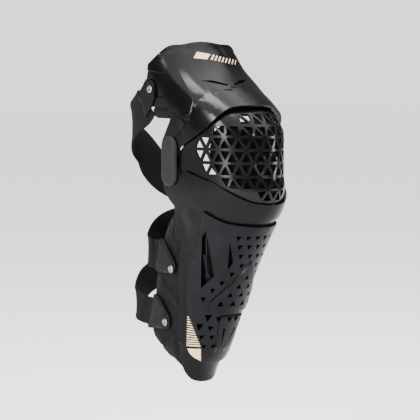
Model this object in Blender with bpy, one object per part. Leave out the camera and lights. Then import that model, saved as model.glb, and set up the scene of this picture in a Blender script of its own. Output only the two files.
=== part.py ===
"""Hard-shell knee and shin guard, held up in the bent shape it has on a leg.

Metres, +Z up. The guard faces -Y. The side of the leg that carries the hooks
is -X. The origin is in the middle of the knee, where the leg goes through.
Every plate and pad is a flat sheet, cut to its outline with its holes and
then laid on one form of the bent leg.
"""
import math

import bmesh
import bpy
import numpy as np
from mathutils import Vector

# Driving sizes of the leg form
THIGH_HEIGHT = 0.166
SHIN_LENGTH = 0.295
KNEE_DEPTH = 0.138
HINGE_HALF_WIDTH = 0.073

# Walls, reliefs and clearances
SHELL_WALL = 0.0028
PAD_WALL = 0.006
STRAP_WALL = 0.0022
GAP = 0.0004
LIP_RISE = 0.0022
POCKET_DEPTH = 0.0014
LINING_DROP = 0.0030
CUP_PLAY = 0.0012
PLATE_PLAY = 0.0014
PAD_PLAY = 0.0012
SHIN_PAD_LEVEL = -2 * (SHELL_WALL + GAP) - PLATE_PLAY - PAD_PLAY
PANEL_RISE = 0.0028
STEP_WIDTH = 0.0012

# Lattice of the knee cup
LATTICE_PITCH = 0.0200
STRUT_WIDTH = 0.0045
LATTICE_MARGIN = 0.0035
SHIN_HOLE = 0.0058

# Hinge
HINGE_Y = -0.005
PIVOT_SPACING = 0.036
PIVOT_RADIUS = 0.004
ARM_RADIUS = 0.015
COVER_WIDTH = 0.029
COVER_HEIGHT = 0.067
COVER_THICK = 0.005
PIN_HEAD_RADIUS = 0.0065
PIN_HEAD_THICK = 0.0016

# Straps, hook tabs and their posts on the side at -X; corners and posts as (y, z)
THIGH_STRAP_WIDTH = 0.048
CALF_STRAP_WIDTH = 0.040
TAB_WALL = 0.003
THIGH_TAB = ((0.026, 0.104), (0.026, 0.084), (0.046, 0.056), (0.062, 0.086), (0.040, 0.110))
THIGH_POST = (0.033, 0.095)
CALF_TAB_UPPER = ((0.009, -0.1425), (0.014, -0.1560), (0.055, -0.1550), (0.041, -0.1080), (0.031, -0.1120))
CALF_POST_UPPER = (0.019, -0.1485)
CALF_TAB_LOWER = ((0.032, -0.2180), (0.034, -0.2330), (0.083, -0.2370), (0.063, -0.1870), (0.055, -0.1880))
CALF_POST_LOWER = (0.041, -0.2240)
POST_RADIUS = 0.0032
POST_HEAD_RADIUS = 0.0052
POST_HEAD_THICK = 0.0018
POST_SLACK = 0.0012
# How far a flat strap bridges the hollow of the side wall below the knee
HOLLOW_SIDE = 0.0012
# Middle of the leg behind the knee, that the straps go round, as a share of the knee depth
STRAP_CENTRE = 0.2

# Spacing of the score lines that let a sheet bend, round and up the form
GRID_U = 0.16
GRID_V = 0.125

# Height as a share of the thigh height above the knee and of the shin length
# below it. Front and side lines as shares of the knee depth, half width as a
# share of the hinge half width, and how square the section is.
LEG_SECTIONS = (
    # height, front, side, half width, squareness
    (-1.06, 0.05, 0.29, 0.50, 2.1),
    (-1.00, 0.00, 0.285, 0.53, 2.1),
    (-0.92, -0.11, 0.27, 0.59, 2.1),
    (-0.85, -0.20, 0.25, 0.63, 2.1),
    (-0.71, -0.345, 0.20, 0.67, 2.1),
    (-0.57, -0.49, 0.165, 0.73, 2.1),
    (-0.46, -0.615, 0.13, 0.77, 2.1),
    (-0.366, -0.735, 0.09, 0.80, 2.1),
    (-0.31, -0.81, 0.07, 0.83, 2.1),
    (-0.25, -0.895, 0.05, 0.88, 2.1),
    (-0.19, -0.945, 0.03, 0.93, 2.1),
    (-0.12, -0.98, 0.01, 0.98, 2.1),
    (-0.05, -0.955, 0.00, 1.00, 2.1),
    (0.03, -0.955, 0.00, 1.00, 2.1),
    (0.22, -0.93, -0.02, 1.00, 2.2),
    (0.35, -0.80, 0.00, 1.00, 2.35),
    (0.45, -0.62, 0.05, 1.005, 2.5),
    (0.57, -0.395, 0.17, 1.01, 2.5),
    (0.73, -0.11, 0.32, 1.02, 2.5),
    (0.90, 0.08, 0.38, 1.00, 2.4),
    (1.00, 0.175, 0.41, 0.97, 2.4),
)

# Lower edge of the cuff over the knee, from the front to the side
RIM_LINE = (
    # round, height
    (0.00, 0.440),
    (0.16, 0.436),
    (0.29, 0.418),
    (0.42, 0.365),
    (0.53, 0.300),
    (0.67, 0.220),
    (0.80, 0.150),
)
# Upper edge of the band that stands proud along that rim
BAND_LINE = (
    (0.00, 0.575),
    (0.24, 0.562),
    (0.36, 0.540),
    (0.57, 0.470),
    (0.74, 0.340),
    (0.93, 0.180),
)
CUFF_TOP = (
    (0.94, 0.775),
    (0.73, 0.865),
    (0.58, 0.925),
    (0.38, 0.945),
    (0.18, 0.925),
    (0.00, 0.915),
)
# Upper edge of the collar below the knee
COLLAR_LINE = (
    (0.00, -0.188),
    (0.19, -0.175),
    (0.38, -0.131),
    (0.54, -0.087),
    (0.68, -0.062),
    (0.80, -0.040),
)
COLLAR_FOOT = (
    (0.00, -0.262),
    (0.14, -0.259),
    (0.32, -0.251),
    (0.47, -0.233),
    (0.65, -0.203),
)
PLATE_TOP = (
    (0.00, -0.291),
    (0.12, -0.288),
    (0.33, -0.276),
    (0.47, -0.257),
    (0.62, -0.222),
)
PLATE_SIDE = (
    (0.64, -0.347),
    (0.68, -0.443),
    (0.67, -0.635),
    (0.57, -0.850),
    (0.49, -0.900),
    (0.32, -0.935),
    (0.00, -0.948),
)
FRAME_WINDOW = (
    (0.00, -0.325),
    (0.32, -0.308),
    (0.51, -0.270),
    (0.55, -0.350),
    (0.59, -0.440),
    (0.57, -0.630),
    (0.45, -0.820),
    (0.25, -0.900),
    (0.00, -0.908),
)
# Rear edge of the side rail under the arm, down to the tip
RAIL_EDGE = (
    (0.93, -0.250),
    (0.88, -0.335),
    (0.83, -0.419),
    (0.81, -0.641),
    (0.76, -0.860),
    (0.74, -0.925),
    (0.64, -0.985),
    (0.45, -1.026),
    (0.22, -1.042),
    (0.00, -1.046),
)
# Raised panels of the shin plate, right halves from the top
UPPER_PANEL = ((0.00, -0.452), (0.15, -0.545), (0.36, -0.641), (0.35, -0.677), (0.18, -0.688), (0.00, -0.668))
LOWER_PANEL = ((0.00, -0.708), (0.20, -0.708), (0.13, -0.862), (0.00, -0.868))
SIDE_WINDOW = ((0.56, -0.311), (0.59, -0.341), (0.50, -0.575), (0.37, -0.515))
FRONT_SLIT = ((0.30, -0.353), (0.24, -0.485), (0.205, -0.455))
LOW_SLIT = ((0.105, -0.765), (0.075, -0.765), (0.055, -0.860))
CUFF_SLIT = ((0.35, 0.645), (0.20, 0.642), (0.04, 0.612), (0.06, 0.600), (0.20, 0.620))

# Triangular holes of the shin plate: height, pointing down or up, size in
# shares of the hole size, and the places round in shares of the pitch.
SHIN_PITCH = 0.013
SHIN_ROWS = (
    # height, points up, size, places
    (-0.338, False, 1.0, (0.5, 1.5, 2.5)),
    (-0.380, False, 1.0, (0.0, 1.0, 2.0)),
    (-0.424, False, 1.0, (0.5, 1.5)),
    (-0.470, False, 1.0, (1.0,)),
    (-0.509, False, 1.0, (1.7,)),
    (-0.551, False, 1.0, (2.4,)),
    (-0.587, False, 1.0, (3.1,)),
    (-0.629, False, 1.0, (3.8,)),
    (-0.521, True, 1.0, (0.0,)),
    (-0.563, True, 1.0, (0.6,)),
    (-0.603, True, 1.0, (0.0, 1.2)),
    (-0.646, True, 1.1, (0.6, 1.85)),
    (-0.722, False, 1.1, (0.4, 1.5)),
    (-0.716, False, 1.5, (2.65,)),
    (-0.761, False, 1.5, (3.25,)),
    (-0.768, False, 1.1, (2.05,)),
    (-0.812, False, 1.0, (1.6, 2.7)),
    (-0.858, False, 0.9, (1.1, 2.1)),
)

# Middle line of each strap: across as a share of the hinge half width, back
# as a share of the knee depth, and height as in the leg sections. A row on the
# wall lies flat on the side wall, and its first value only gives the side.
THIGH_STRAP_PATH = (
    # across, back, height, on the wall
    (-1.00, 0.333, 0.464, True),
    (-1.00, 0.400, 0.405, True),
    (-0.98, 0.51, 0.335, False),
    (-0.88, 0.62, 0.26, False),
    (-0.62, 0.75, 0.150, False),
    (-0.29, 0.83, 0.05, False),
    (0.00, 0.86, -0.05, False),
    (0.32, 0.81, -0.12, False),
    (0.68, 0.66, -0.165, False),
    (0.93, 0.42, -0.190, False),
    (1.00, 0.14, -0.200, True),
    (1.00, -0.06, -0.200, True),
)
CALF_STRAP_UPPER_PATH = (
    (-1.00, 0.250, -0.445, True),
    (-1.00, 0.405, -0.445, True),
    (-0.70, 0.48, -0.437, False),
    (-0.55, 0.57, -0.415, False),
    (-0.20, 0.65, -0.355, False),
    (0.20, 0.66, -0.320, False),
    (0.56, 0.57, -0.315, False),
    (0.75, 0.42, -0.325, False),
    (1.00, 0.25, -0.335, True),
    (1.00, 0.11, -0.340, True),
)
CALF_STRAP_LOWER_PATH = (
    (-1.00, 0.430, -0.725, True),
    (-1.00, 0.600, -0.722, True),
    (-0.61, 0.70, -0.705, False),
    (-0.51, 0.81, -0.675, False),
    (-0.12, 0.91, -0.600, False),
    (0.30, 0.87, -0.555, False),
    (0.56, 0.70, -0.545, False),
    (0.68, 0.57, -0.550, False),
    (1.00, 0.42, -0.558, True),
    (1.00, 0.26, -0.562, True),
)


def smooth_row(rows, at):
    """Monotone cubic through the rows, read at a value of their first column."""
    table = np.array(rows, dtype=float)
    knots, values = table[:, 0], table[:, 1:]
    steps = np.diff(knots)[:, None]
    slopes = np.diff(values, axis=0) / steps
    tangents = np.zeros_like(values)
    tangents[0], tangents[-1] = slopes[0], slopes[-1]
    for i in range(1, len(knots) - 1):
        before, after = slopes[i - 1], slopes[i]
        near = 2 * steps[i] + steps[i - 1]
        far = steps[i] + 2 * steps[i - 1]
        safe_before = np.where(before == 0, 1, before)
        safe_after = np.where(after == 0, 1, after)
        mean = (near + far) / (near / safe_before + far / safe_after)
        tangents[i] = np.where(before * after > 0, mean, 0)
    at = min(max(at, knots[0]), knots[-1])
    k = int(min(max(np.searchsorted(knots, at) - 1, 0), len(knots) - 2))
    t = (at - knots[k]) / steps[k, 0]
    return ((1 + 2 * t) * (1 - t) ** 2 * values[k] + t * (1 - t) ** 2 * steps[k] * tangents[k]
            + t * t * (3 - 2 * t) * values[k + 1] + t * t * (t - 1) * steps[k] * tangents[k + 1])


SECTION_CACHE = {}


def section(v):
    """Half a section of the leg form: arc length, x and y from the front to the side."""
    key = round(v, 6)
    if key not in SECTION_CACHE:
        front, side, half, square = smooth_row(LEG_SECTIONS, v)
        front, side, half = front * KNEE_DEPTH, side * KNEE_DEPTH, half * HINGE_HALF_WIDTH
        turn = np.linspace(0, math.pi / 2, 61)
        x = half * np.sin(turn) ** (2 / square)
        y = side - (side - front) * np.cos(turn) ** (2 / square)
        arc = np.concatenate([[0], np.cumsum(np.hypot(np.diff(x), np.diff(y)))])
        SECTION_CACHE[key] = (arc, x, y)
    return SECTION_CACHE[key]


def unit_height(v):
    return THIGH_HEIGHT if v > 0 else SHIN_LENGTH


def height_share(z):
    return z / unit_height(z)


def half_arc(v):
    """Length round the form from the front to the start of the side wall."""
    return section(v)[0][-1]


def on_form(u, v):
    """Point of the form. u is 0 at the front and 1 where the flat side wall starts."""
    arc, xs, ys = section(v)
    round_share = abs(u)
    if round_share > 1:
        x, y = xs[-1], ys[-1] + (round_share - 1) * KNEE_DEPTH
    else:
        x = np.interp(round_share * arc[-1], arc, xs)
        y = np.interp(round_share * arc[-1], arc, ys)
    return Vector((math.copysign(x, u), y, v * unit_height(v)))


def off_form(u, v, out):
    """Point at a distance out from the form, square to it."""
    step = 0.012
    across = on_form(u + step, v) - on_form(u - step, v)
    along = on_form(u, v + step) - on_form(u, v - step)
    return on_form(u, v) + across.cross(along).normalized() * out


def at_side(y, z):
    """Outline point (u, v) of the side wall at a given y and z."""
    v = height_share(z)
    return (1 + (y - section(v)[2][-1]) / KNEE_DEPTH, v)


def shifted(line, du, dv):
    return [(u + du, v + dv) for u, v in line]


def arc_points(centre_y, centre_z, radius, start, end, steps):
    """Side wall points on an arc; angles in degrees from +Y towards +Z."""
    points = []
    for i in range(steps + 1):
        angle = math.radians(start + (end - start) * i / steps)
        points.append(at_side(centre_y + radius * math.cos(angle), centre_z + radius * math.sin(angle)))
    return points


def both_sides(half):
    """Closed outline from its half on u >= 0, listed from one end of the middle line to the other."""
    mirrored = [(-u, v) for u, v in reversed(half) if abs(u) > 1e-9]
    return list(half) + mirrored


def mirrored_hole(points):
    return [(-u, v) for u, v in points]


def near_hole(u, v, corners):
    """Hole round (u, v) with its corners in metres across and up."""
    return [(u + x / half_arc(v), v + z / unit_height(v)) for x, z in corners]


def triangle_corners(size, points_up):
    sign = 1 if points_up else -1
    return [(0, sign * 0.62 * size), (0.58 * size, -sign * 0.42 * size), (-0.58 * size, -sign * 0.42 * size)]


def is_inside(point, polygon):
    x, y = point
    inside = False
    for (ax, ay), (bx, by) in zip(polygon, polygon[1:] + polygon[:1]):
        if (ay > y) != (by > y) and x < (bx - ax) * (y - ay) / (by - ay) + ax:
            inside = not inside
    return inside


def edge_distance(point, polygon):
    """Distance in metres from (u, v) to the polygon's edges, over the form."""
    u, v = point
    scale = Vector((half_arc(v), unit_height(v)))
    p = Vector((u * scale.x, v * scale.y))
    best = 1.0
    for a, b in zip(polygon, polygon[1:] + polygon[:1]):
        start = Vector((a[0] * scale.x, a[1] * scale.y))
        run = Vector((b[0] * scale.x, b[1] * scale.y)) - start
        share = min(max((p - start).dot(run) / run.length_squared, 0), 1)
        best = min(best, (p - start - run * share).length)
    return best


def ramp(value, width):
    share = min(max(value / width, 0), 1)
    return share * share * (3 - 2 * share)


def line_height(line, u):
    return float(np.interp(abs(u), [p[0] for p in line], [p[1] for p in line]))


COLLECTION = bpy.data.collections.new("knee_guard")


def add_material(name, color, roughness, metallic=0.0):
    material = bpy.data.materials.new(name)
    material.use_nodes = True
    shader = material.node_tree.nodes["Principled BSDF"]
    shader.inputs["Base Color"].default_value = (*color, 1)
    shader.inputs["Roughness"].default_value = roughness
    shader.inputs["Metallic"].default_value = metallic
    return material


def add_object(name, bm, material, smooth=True):
    """Finish a mesh as one named piece of the guard."""
    bmesh.ops.recalc_face_normals(bm, faces=bm.faces[:])
    mesh = bpy.data.meshes.new(name)
    bm.to_mesh(mesh)
    bm.free()
    mesh.materials.append(material)
    if smooth:
        mesh.shade_smooth()
        mesh.set_sharp_from_angle(angle=math.radians(35))
    piece = bpy.data.objects.new(name, mesh)
    COLLECTION.objects.link(piece)
    return piece


def flat_sheet(outline, holes):
    """Flat sheet one unit thick in the (u, v) plane, cut to its outline and holes."""
    curve = bpy.data.curves.new("sheet_outline", "CURVE")
    curve.dimensions = "2D"
    curve.fill_mode = "BOTH"
    curve.extrude = 0.5
    for points in [outline] + holes:
        spline = curve.splines.new("POLY")
        spline.points.add(len(points) - 1)
        for point, (u, v) in zip(spline.points, points):
            point.co = (u, v, 0, 1)
        spline.use_cyclic_u = True
    guide = bpy.data.objects.new("sheet_outline", curve)
    bpy.context.scene.collection.objects.link(guide)
    mesh = bpy.data.meshes.new_from_object(guide.evaluated_get(bpy.context.evaluated_depsgraph_get()))
    bm = bmesh.new()
    bm.from_mesh(mesh)
    bmesh.ops.remove_doubles(bm, verts=bm.verts[:], dist=1e-6)
    flat = {face for face in bm.faces if abs(face.normal.z) > 0.5}
    inner = {edge for face in flat for edge in face.edges if all(near in flat for near in edge.link_faces)}
    bmesh.ops.beautify_fill(bm, faces=list(flat), edges=list(inner))
    bpy.data.objects.remove(guide)
    bpy.data.curves.remove(curve)
    bpy.data.meshes.remove(mesh)
    return bm


def cut_across(bm, point, normal, low, high):
    """Score the faces that reach into the box low..high of the (u, v) plane."""
    faces = []
    for face in bm.faces:
        us = [vert.co.x for vert in face.verts]
        vs = [vert.co.y for vert in face.verts]
        if min(us) <= high[0] and max(us) >= low[0] and min(vs) <= high[1] and max(vs) >= low[1]:
            faces.append(face)
    edges = {edge for face in faces for edge in face.edges}
    verts = {vert for face in faces for vert in face.verts}
    bmesh.ops.bisect_plane(bm, geom=list(verts) + list(edges) + faces, dist=1e-6,
                           plane_co=(*point, 0), plane_no=(*normal, 0))


def score_grid(bm, step_u, step_v):
    us = [vert.co.x for vert in bm.verts]
    vs = [vert.co.y for vert in bm.verts]
    low, high = (min(us), min(vs)), (max(us), max(vs))
    for i in range(math.ceil(low[0] / step_u), math.floor(high[0] / step_u) + 1):
        cut_across(bm, (i * step_u, 0), (1, 0), low, high)
    for i in range(math.ceil(low[1] / step_v), math.floor(high[1] / step_v) + 1):
        cut_across(bm, (0, i * step_v), (0, 1), low, high)


def score_step(bm, line):
    """Score both edges of a step that runs along a line of points."""
    for a, b in zip(line, line[1:]):
        run = (b[0] - a[0], b[1] - a[1])
        low = (min(a[0], b[0]) - 0.01, min(a[1], b[1]) - 0.01)
        high = (max(a[0], b[0]) + 0.01, max(a[1], b[1]) + 0.01)
        metric = (half_arc(a[1]), unit_height(a[1]))
        normal = (-run[1] * metric[1] / metric[0], run[0] * metric[0] / metric[1])
        size = math.hypot(normal[0] * metric[0], normal[1] * metric[1])
        for side in (-0.5, 0.5):
            shift = side * STEP_WIDTH / size
            point = (a[0] + normal[0] * shift, a[1] + normal[1] * shift)
            cut_across(bm, point, (-run[1], run[0]), low, high)


def laid_sheet(name, outline, holes, out, wall, material, steps=(), grid=(GRID_U, GRID_V)):
    """Sheet laid on the leg form, its outer face at out(u, v) and its inner face a wall below."""
    bm = flat_sheet(outline, holes)
    if grid:
        score_grid(bm, *grid)
    for line in steps:
        score_step(bm, line)
    for vert in bm.verts:
        u, v, side = vert.co
        level = out(u, v)
        if side < 0:
            level -= wall
        vert.co = off_form(u, v, level)
    bmesh.ops.triangulate(bm, faces=bm.faces[:])
    return add_object(name, bm, material)


def arm_outline(sign):
    """Rounded end of a hinge arm, from its front edge round to its rear edge."""
    pivot_z = sign * PIVOT_SPACING / 2
    return arc_points(HINGE_Y, pivot_z, ARM_RADIUS, 180, 180 + sign * 180, 8)


def pivot_hole(sign):
    pivot_z = sign * PIVOT_SPACING / 2
    return arc_points(HINGE_Y, pivot_z, PIVOT_RADIUS + GAP, 0, 330, 11)


def cuff_edge(inset):
    """Rear and top edges of the cuff, pulled in by an inset."""
    return [
        at_side(0.036 - inset, 0.071 + inset),
        at_side(0.041 - inset, 0.090),
        at_side(0.045 - inset, 0.110),
        at_side(0.042 - inset, 0.119),
    ] + shifted(CUFF_TOP, 0, -inset / THIGH_HEIGHT)


def make_thigh_shell(material):
    arm = arm_outline(1)
    half = list(RIM_LINE) + arm + [
        at_side(0.0125, 0.026),
        at_side(-0.003, 0.052),
        at_side(-0.007, 0.068),
        at_side(-0.004, 0.071),
    ] + cuff_edge(0)
    pocket = [at_side(0.002, 0.116), at_side(0.008, 0.084), at_side(0.050, 0.084), at_side(0.050, 0.121)]

    def level(u, v):
        place = (abs(u), v)
        over_band = (line_height(BAND_LINE, u) - v) * THIGH_HEIGHT
        rise = LIP_RISE * ramp(over_band + STEP_WIDTH / 2, STEP_WIDTH) * ramp(0.93 - abs(u), 0.35)
        if u < 0 and is_inside(place, pocket):
            return rise - POCKET_DEPTH * ramp(edge_distance(place, pocket) + STEP_WIDTH / 2, STEP_WIDTH)
        return rise

    post_hole = mirrored_hole(arc_points(*THIGH_POST, POST_RADIUS + POST_SLACK, 0, 315, 7))
    holes = [pivot_hole(1), mirrored_hole(pivot_hole(1)), list(CUFF_SLIT), mirrored_hole(CUFF_SLIT), post_hole]
    steps = (BAND_LINE, mirrored_hole(BAND_LINE), mirrored_hole(pocket + pocket[:1]))
    return laid_sheet("thigh_shell", both_sides(half), holes, level, SHELL_WALL, material, steps)


def make_thigh_pad(material):
    half = [(0.00, 0.600), (0.36, 0.585), (0.58, 0.520), (0.74, 0.430), (0.86, 0.360),
            at_side(0.000, 0.056), at_side(0.034, 0.056)]
    half += [at_side(0.037, 0.074)] + cuff_edge(0.003)[1:]

    def level(u, v):
        return -SHELL_WALL - POCKET_DEPTH - GAP

    hole = mirrored_hole(arc_points(*THIGH_POST, POST_RADIUS + POST_SLACK, 0, 315, 7))
    return laid_sheet("thigh_pad", both_sides(half), [hole], level, PAD_WALL, material, grid=(2 * GRID_U, GRID_V))


def cup_edge():
    """Outline of the knee cup: hidden under the rim and the collar, with an ear at each side."""
    top = shifted(RIM_LINE, 0, 0.036)
    foot = shifted(COLLAR_LINE, 0, -0.026)
    ear = [at_side(-0.024, 0.022), at_side(-0.015, 0.0085), at_side(0.003, 0.0085),
           at_side(0.003, -0.0085), at_side(-0.015, -0.0085), at_side(-0.024, -0.016)]
    return top + ear + list(reversed(foot))


def lattice_holes(region):
    """Alternating triangles of the lattice whose corners all stay inside the region."""
    row = LATTICE_PITCH * math.sqrt(3) / 2
    inset = STRUT_WIDTH / 2
    side = LATTICE_PITCH - 2 * math.sqrt(3) * inset
    reach = half_arc(0) * 1.1
    columns = int(reach / (LATTICE_PITCH / 2))
    rows = int(KNEE_DEPTH / row)
    holes = []
    for j in range(-rows, rows):
        for i in range(-columns, columns + 1):
            up = (i + j) % 2 == 0
            third = row / 3 if up else 2 * row / 3
            x = i * LATTICE_PITCH / 2
            z = j * row + third
            sign = 1 if up else -1
            corners = [(x, z + sign * side / math.sqrt(3)), (x - side / 2, z - sign * side / (2 * math.sqrt(3))),
                       (x + side / 2, z - sign * side / (2 * math.sqrt(3)))]
            hole = [(cx / half_arc(height_share(cz)), height_share(cz)) for cx, cz in corners]
            fits = all(is_inside(p, region) and edge_distance(p, region) > LATTICE_MARGIN for p in hole)
            if fits:
                holes.append(hole)
    return holes


def make_knee_pad(material):
    """Lining behind the lattice, open at the sides of the knee."""
    half = [(0.00, 0.395), (0.25, 0.375), (0.44, 0.320), (0.57, 0.235), (0.60, 0.100), (0.57, -0.030),
            (0.44, -0.085), (0.25, -0.120), (0.00, -0.150)]

    def level(u, v):
        return cup_level(u, v) - SHELL_WALL - GAP - LINING_DROP

    return laid_sheet("knee_pad", both_sides(half), [], level, PAD_WALL, material)


def cup_level(u, v):
    """Outer face of the knee cup: close under the arms at its ears, and free to slide at the front."""
    return -SHELL_WALL - GAP - CUP_PLAY * ramp(0.90 - abs(u), 0.10)


def make_knee_cup(material):
    outline = both_sides(cup_edge())
    top = shifted(RIM_LINE[:-1], 0, 0.012)
    foot = shifted(COLLAR_LINE[:-1], 0, -0.004)
    region = both_sides(top + [(0.74, 0.16), (0.76, 0.03), (0.74, -0.045)] + list(reversed(foot)))

    holes = lattice_holes(region)
    return laid_sheet("knee_cup", outline, holes, cup_level, SHELL_WALL, material, grid=(2 * GRID_U, GRID_V))


def make_shin_frame(material):
    arm = list(reversed(arm_outline(-1)))
    rear = [at_side(0.011, -0.035), at_side(0.006, -0.047), at_side(-0.004, -0.060)]
    half = list(reversed(RAIL_EDGE)) + list(reversed(rear)) + arm + list(reversed(COLLAR_LINE))

    def level(u, v):
        drop = SHELL_WALL + GAP + PLATE_PLAY
        foot = line_height(COLLAR_FOOT, min(abs(u), 0.65))
        under = (foot - v) * SHIN_LENGTH
        front_part = ramp(under + STEP_WIDTH / 2, STEP_WIDTH) * ramp(0.80 - abs(u), 0.14)
        side_part = ramp(-0.20 - v, 0.14)
        edge = np.interp(-v, [-p[1] for p in RAIL_EDGE], [p[0] for p in RAIL_EDGE])
        ridge = ramp((edge - abs(u)) * half_arc(v) - 0.002, 0.007) if v > -0.86 else 1.0
        return -drop * max(front_part, side_part * ridge)

    window = both_sides(list(FRAME_WINDOW))
    holes = [pivot_hole(-1), mirrored_hole(pivot_hole(-1)), window]
    foot = list(COLLAR_FOOT)
    rail = [(u - 0.07, v) for u, v in RAIL_EDGE[1:5]]
    return laid_sheet("shin_frame", both_sides(half), holes, level, SHELL_WALL, material,
                      (foot, mirrored_hole(foot), rail, mirrored_hole(rail)))


def shin_holes():
    holes = []
    for hole in (SIDE_WINDOW, FRONT_SLIT, LOW_SLIT):
        holes += [list(hole), mirrored_hole(hole)]
    for v, up, size, places in SHIN_ROWS:
        corners = triangle_corners(SHIN_HOLE * size, up)
        for place in places:
            u = place * SHIN_PITCH / half_arc(v)
            holes.append(near_hole(u, v, corners))
            if place:
                holes.append(near_hole(-u, v, corners))
    return holes


def make_shin_plate(material):
    half = list(PLATE_TOP) + list(PLATE_SIDE)
    panels = (both_sides(list(UPPER_PANEL)), both_sides(list(LOWER_PANEL)))

    def level(u, v):
        rise = 0.0
        for panel in panels:
            distance = edge_distance((u, v), panel)
            if not is_inside((u, v), panel):
                distance = -distance
            rise = max(rise, PANEL_RISE * ramp(distance + STEP_WIDTH / 2, STEP_WIDTH))
        return rise

    steps = [panel + panel[:1] for panel in panels]
    return laid_sheet("shin_plate", both_sides(half), shin_holes(), level, SHELL_WALL, material, steps,
                      (2 * GRID_U, GRID_V))


def make_shin_pad(material):
    half = [(0.00, -1.034), (0.45, -1.014), (0.77, -0.972), at_side(0.047, -0.274),
            at_side(0.063, -0.261), at_side(0.076, -0.249), at_side(0.080, -0.238), at_side(0.070, -0.200),
            at_side(0.056, -0.150),
            at_side(0.037, -0.105), at_side(0.014, -0.078), at_side(-0.006, -0.066),
            (0.66, -0.235), (0.33, -0.285), (0.00, -0.300)]

    def level(u, v):
        return SHIN_PAD_LEVEL

    holes = [mirrored_hole(arc_points(*post, POST_RADIUS + POST_SLACK, 0, 315, 7))
             for post in (CALF_POST_UPPER, CALF_POST_LOWER)]
    return laid_sheet("shin_pad", both_sides(half), holes, level, PAD_WALL, material)


def capsule(width, height, thick, segments):
    """Flat capsule standing on X = 0, thick along +X."""
    bm = bmesh.new()
    radius = width / 2
    reach = height / 2 - radius
    ring = []
    for top in (1, -1):
        for i in range(segments + 1):
            angle = math.pi * i / segments + (0 if top > 0 else math.pi)
            ring.append((radius * math.cos(angle), top * reach + radius * math.sin(angle)))
    base = [bm.verts.new((0, y, z)) for y, z in ring]
    face = bm.faces.new(base)
    moved = bmesh.ops.extrude_face_region(bm, geom=[face])
    for vert in (item for item in moved["geom"] if isinstance(item, bmesh.types.BMVert)):
        vert.co.x += thick
    return bm


def make_hinge_cover(name, side, material):
    bm = capsule(COVER_WIDTH, COVER_HEIGHT, COVER_THICK, 10)
    top_edges = [edge for edge in bm.edges if all(vert.co.x > COVER_THICK / 2 for vert in edge.verts)]
    bmesh.ops.bevel(bm, geom=top_edges, offset=COVER_THICK * 0.35, segments=2, profile=0.6, affect="EDGES")
    for vert in bm.verts:
        vert.co = Vector((side * (HINGE_HALF_WIDTH + GAP + vert.co.x), HINGE_Y + vert.co.y, vert.co.z))
    return add_object(name, bm, material)


def turned_pin(name, seat, axis, rings, material, sides=10):
    """Pin turned round an axis, from rings of (distance out from its seat, radius)."""
    bm = bmesh.new()
    front = Vector((0, 1, 0))
    upward = axis.cross(front).normalized()
    front = upward.cross(axis).normalized()
    loops = []
    for out, radius in rings:
        loop = []
        for i in range(sides):
            angle = math.tau * i / sides
            loop.append(bm.verts.new(seat + axis * out + (front * math.cos(angle) + upward * math.sin(angle)) * radius))
        loops.append(loop)
    for near, far in zip(loops, loops[1:]):
        for i in range(sides):
            bm.faces.new((near[i], near[(i + 1) % sides], far[(i + 1) % sides], far[i]))
    bm.faces.new(loops[0])
    bm.faces.new(loops[-1])
    return add_object(name, bm, material)


def make_hinge_pin(name, side, sign, material):
    head = -SHELL_WALL - GAP
    rings = ((head - PIN_HEAD_THICK, PIN_HEAD_RADIUS), (head, PIN_HEAD_RADIUS), (head, PIVOT_RADIUS), (0, PIVOT_RADIUS))
    u, v = at_side(HINGE_Y, sign * PIVOT_SPACING / 2)
    seat = on_form(side * u, v)
    axis = (off_form(side * u, v, PIVOT_RADIUS) - seat).normalized()
    return turned_pin(name, seat, axis, rings, material)


def strap_row(row, level):
    """Middle point of a strap and the direction its outer face looks."""
    across, back, v, on_wall = row
    y = back * KNEE_DEPTH
    if on_wall:
        z = v * unit_height(v)
        u, v = at_side(y, z)
        u = math.copysign(u, across)
        return off_form(u, v, level), off_form(u, v, level + STRAP_WALL) - off_form(u, v, level)
    return Vector((across * HINGE_HALF_WIDTH, y, v * unit_height(v))), None


def smooth_points(rows, count):
    """Evenly read points of a smooth curve through rows of vectors."""
    rows = [rows[0] * 2 - rows[1]] + rows + [rows[-1] * 2 - rows[-2]]
    points = []
    spans = len(rows) - 3
    for k in range(count + 1):
        place = min(k / count * spans, spans - 1e-6)
        i = int(place)
        t = place - i
        a, b, c, d = rows[i:i + 4]
        points.append(0.5 * ((2 * b) + (c - a) * t + (2 * a - 5 * b + 4 * c - d) * t ** 2
                             + (3 * b - a - 3 * c + d) * t ** 3))
    return points


def strap_frames(path, levels, count):
    """Points along a strap, each with its outward direction and its width direction."""
    seats = []
    for i, row in enumerate(path):
        seats.append(strap_row(row, levels[0] if i < len(path) / 2 else levels[1]))
    middles = [seat for seat, _ in seats]
    faces = []
    for i, (seat, face) in enumerate(seats):
        along = (middles[min(i + 1, len(middles) - 1)] - middles[max(i - 1, 0)]).normalized()
        if face is None:
            face = Vector((along.y, -along.x, 0))
            if face.dot(Vector((seat.x, seat.y - STRAP_CENTRE * KNEE_DEPTH, 0))) < 0:
                face = -face
        faces.append(face.normalized())
    points = smooth_points(middles, count)
    frames = []
    for i, (point, face) in enumerate(zip(points, smooth_points(faces, count))):
        along = (points[min(i + 1, count)] - points[max(i - 1, 0)]).normalized()
        outward = (face - along * face.dot(along)).normalized()
        frames.append((point, outward, along.cross(outward)))
    return frames


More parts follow.
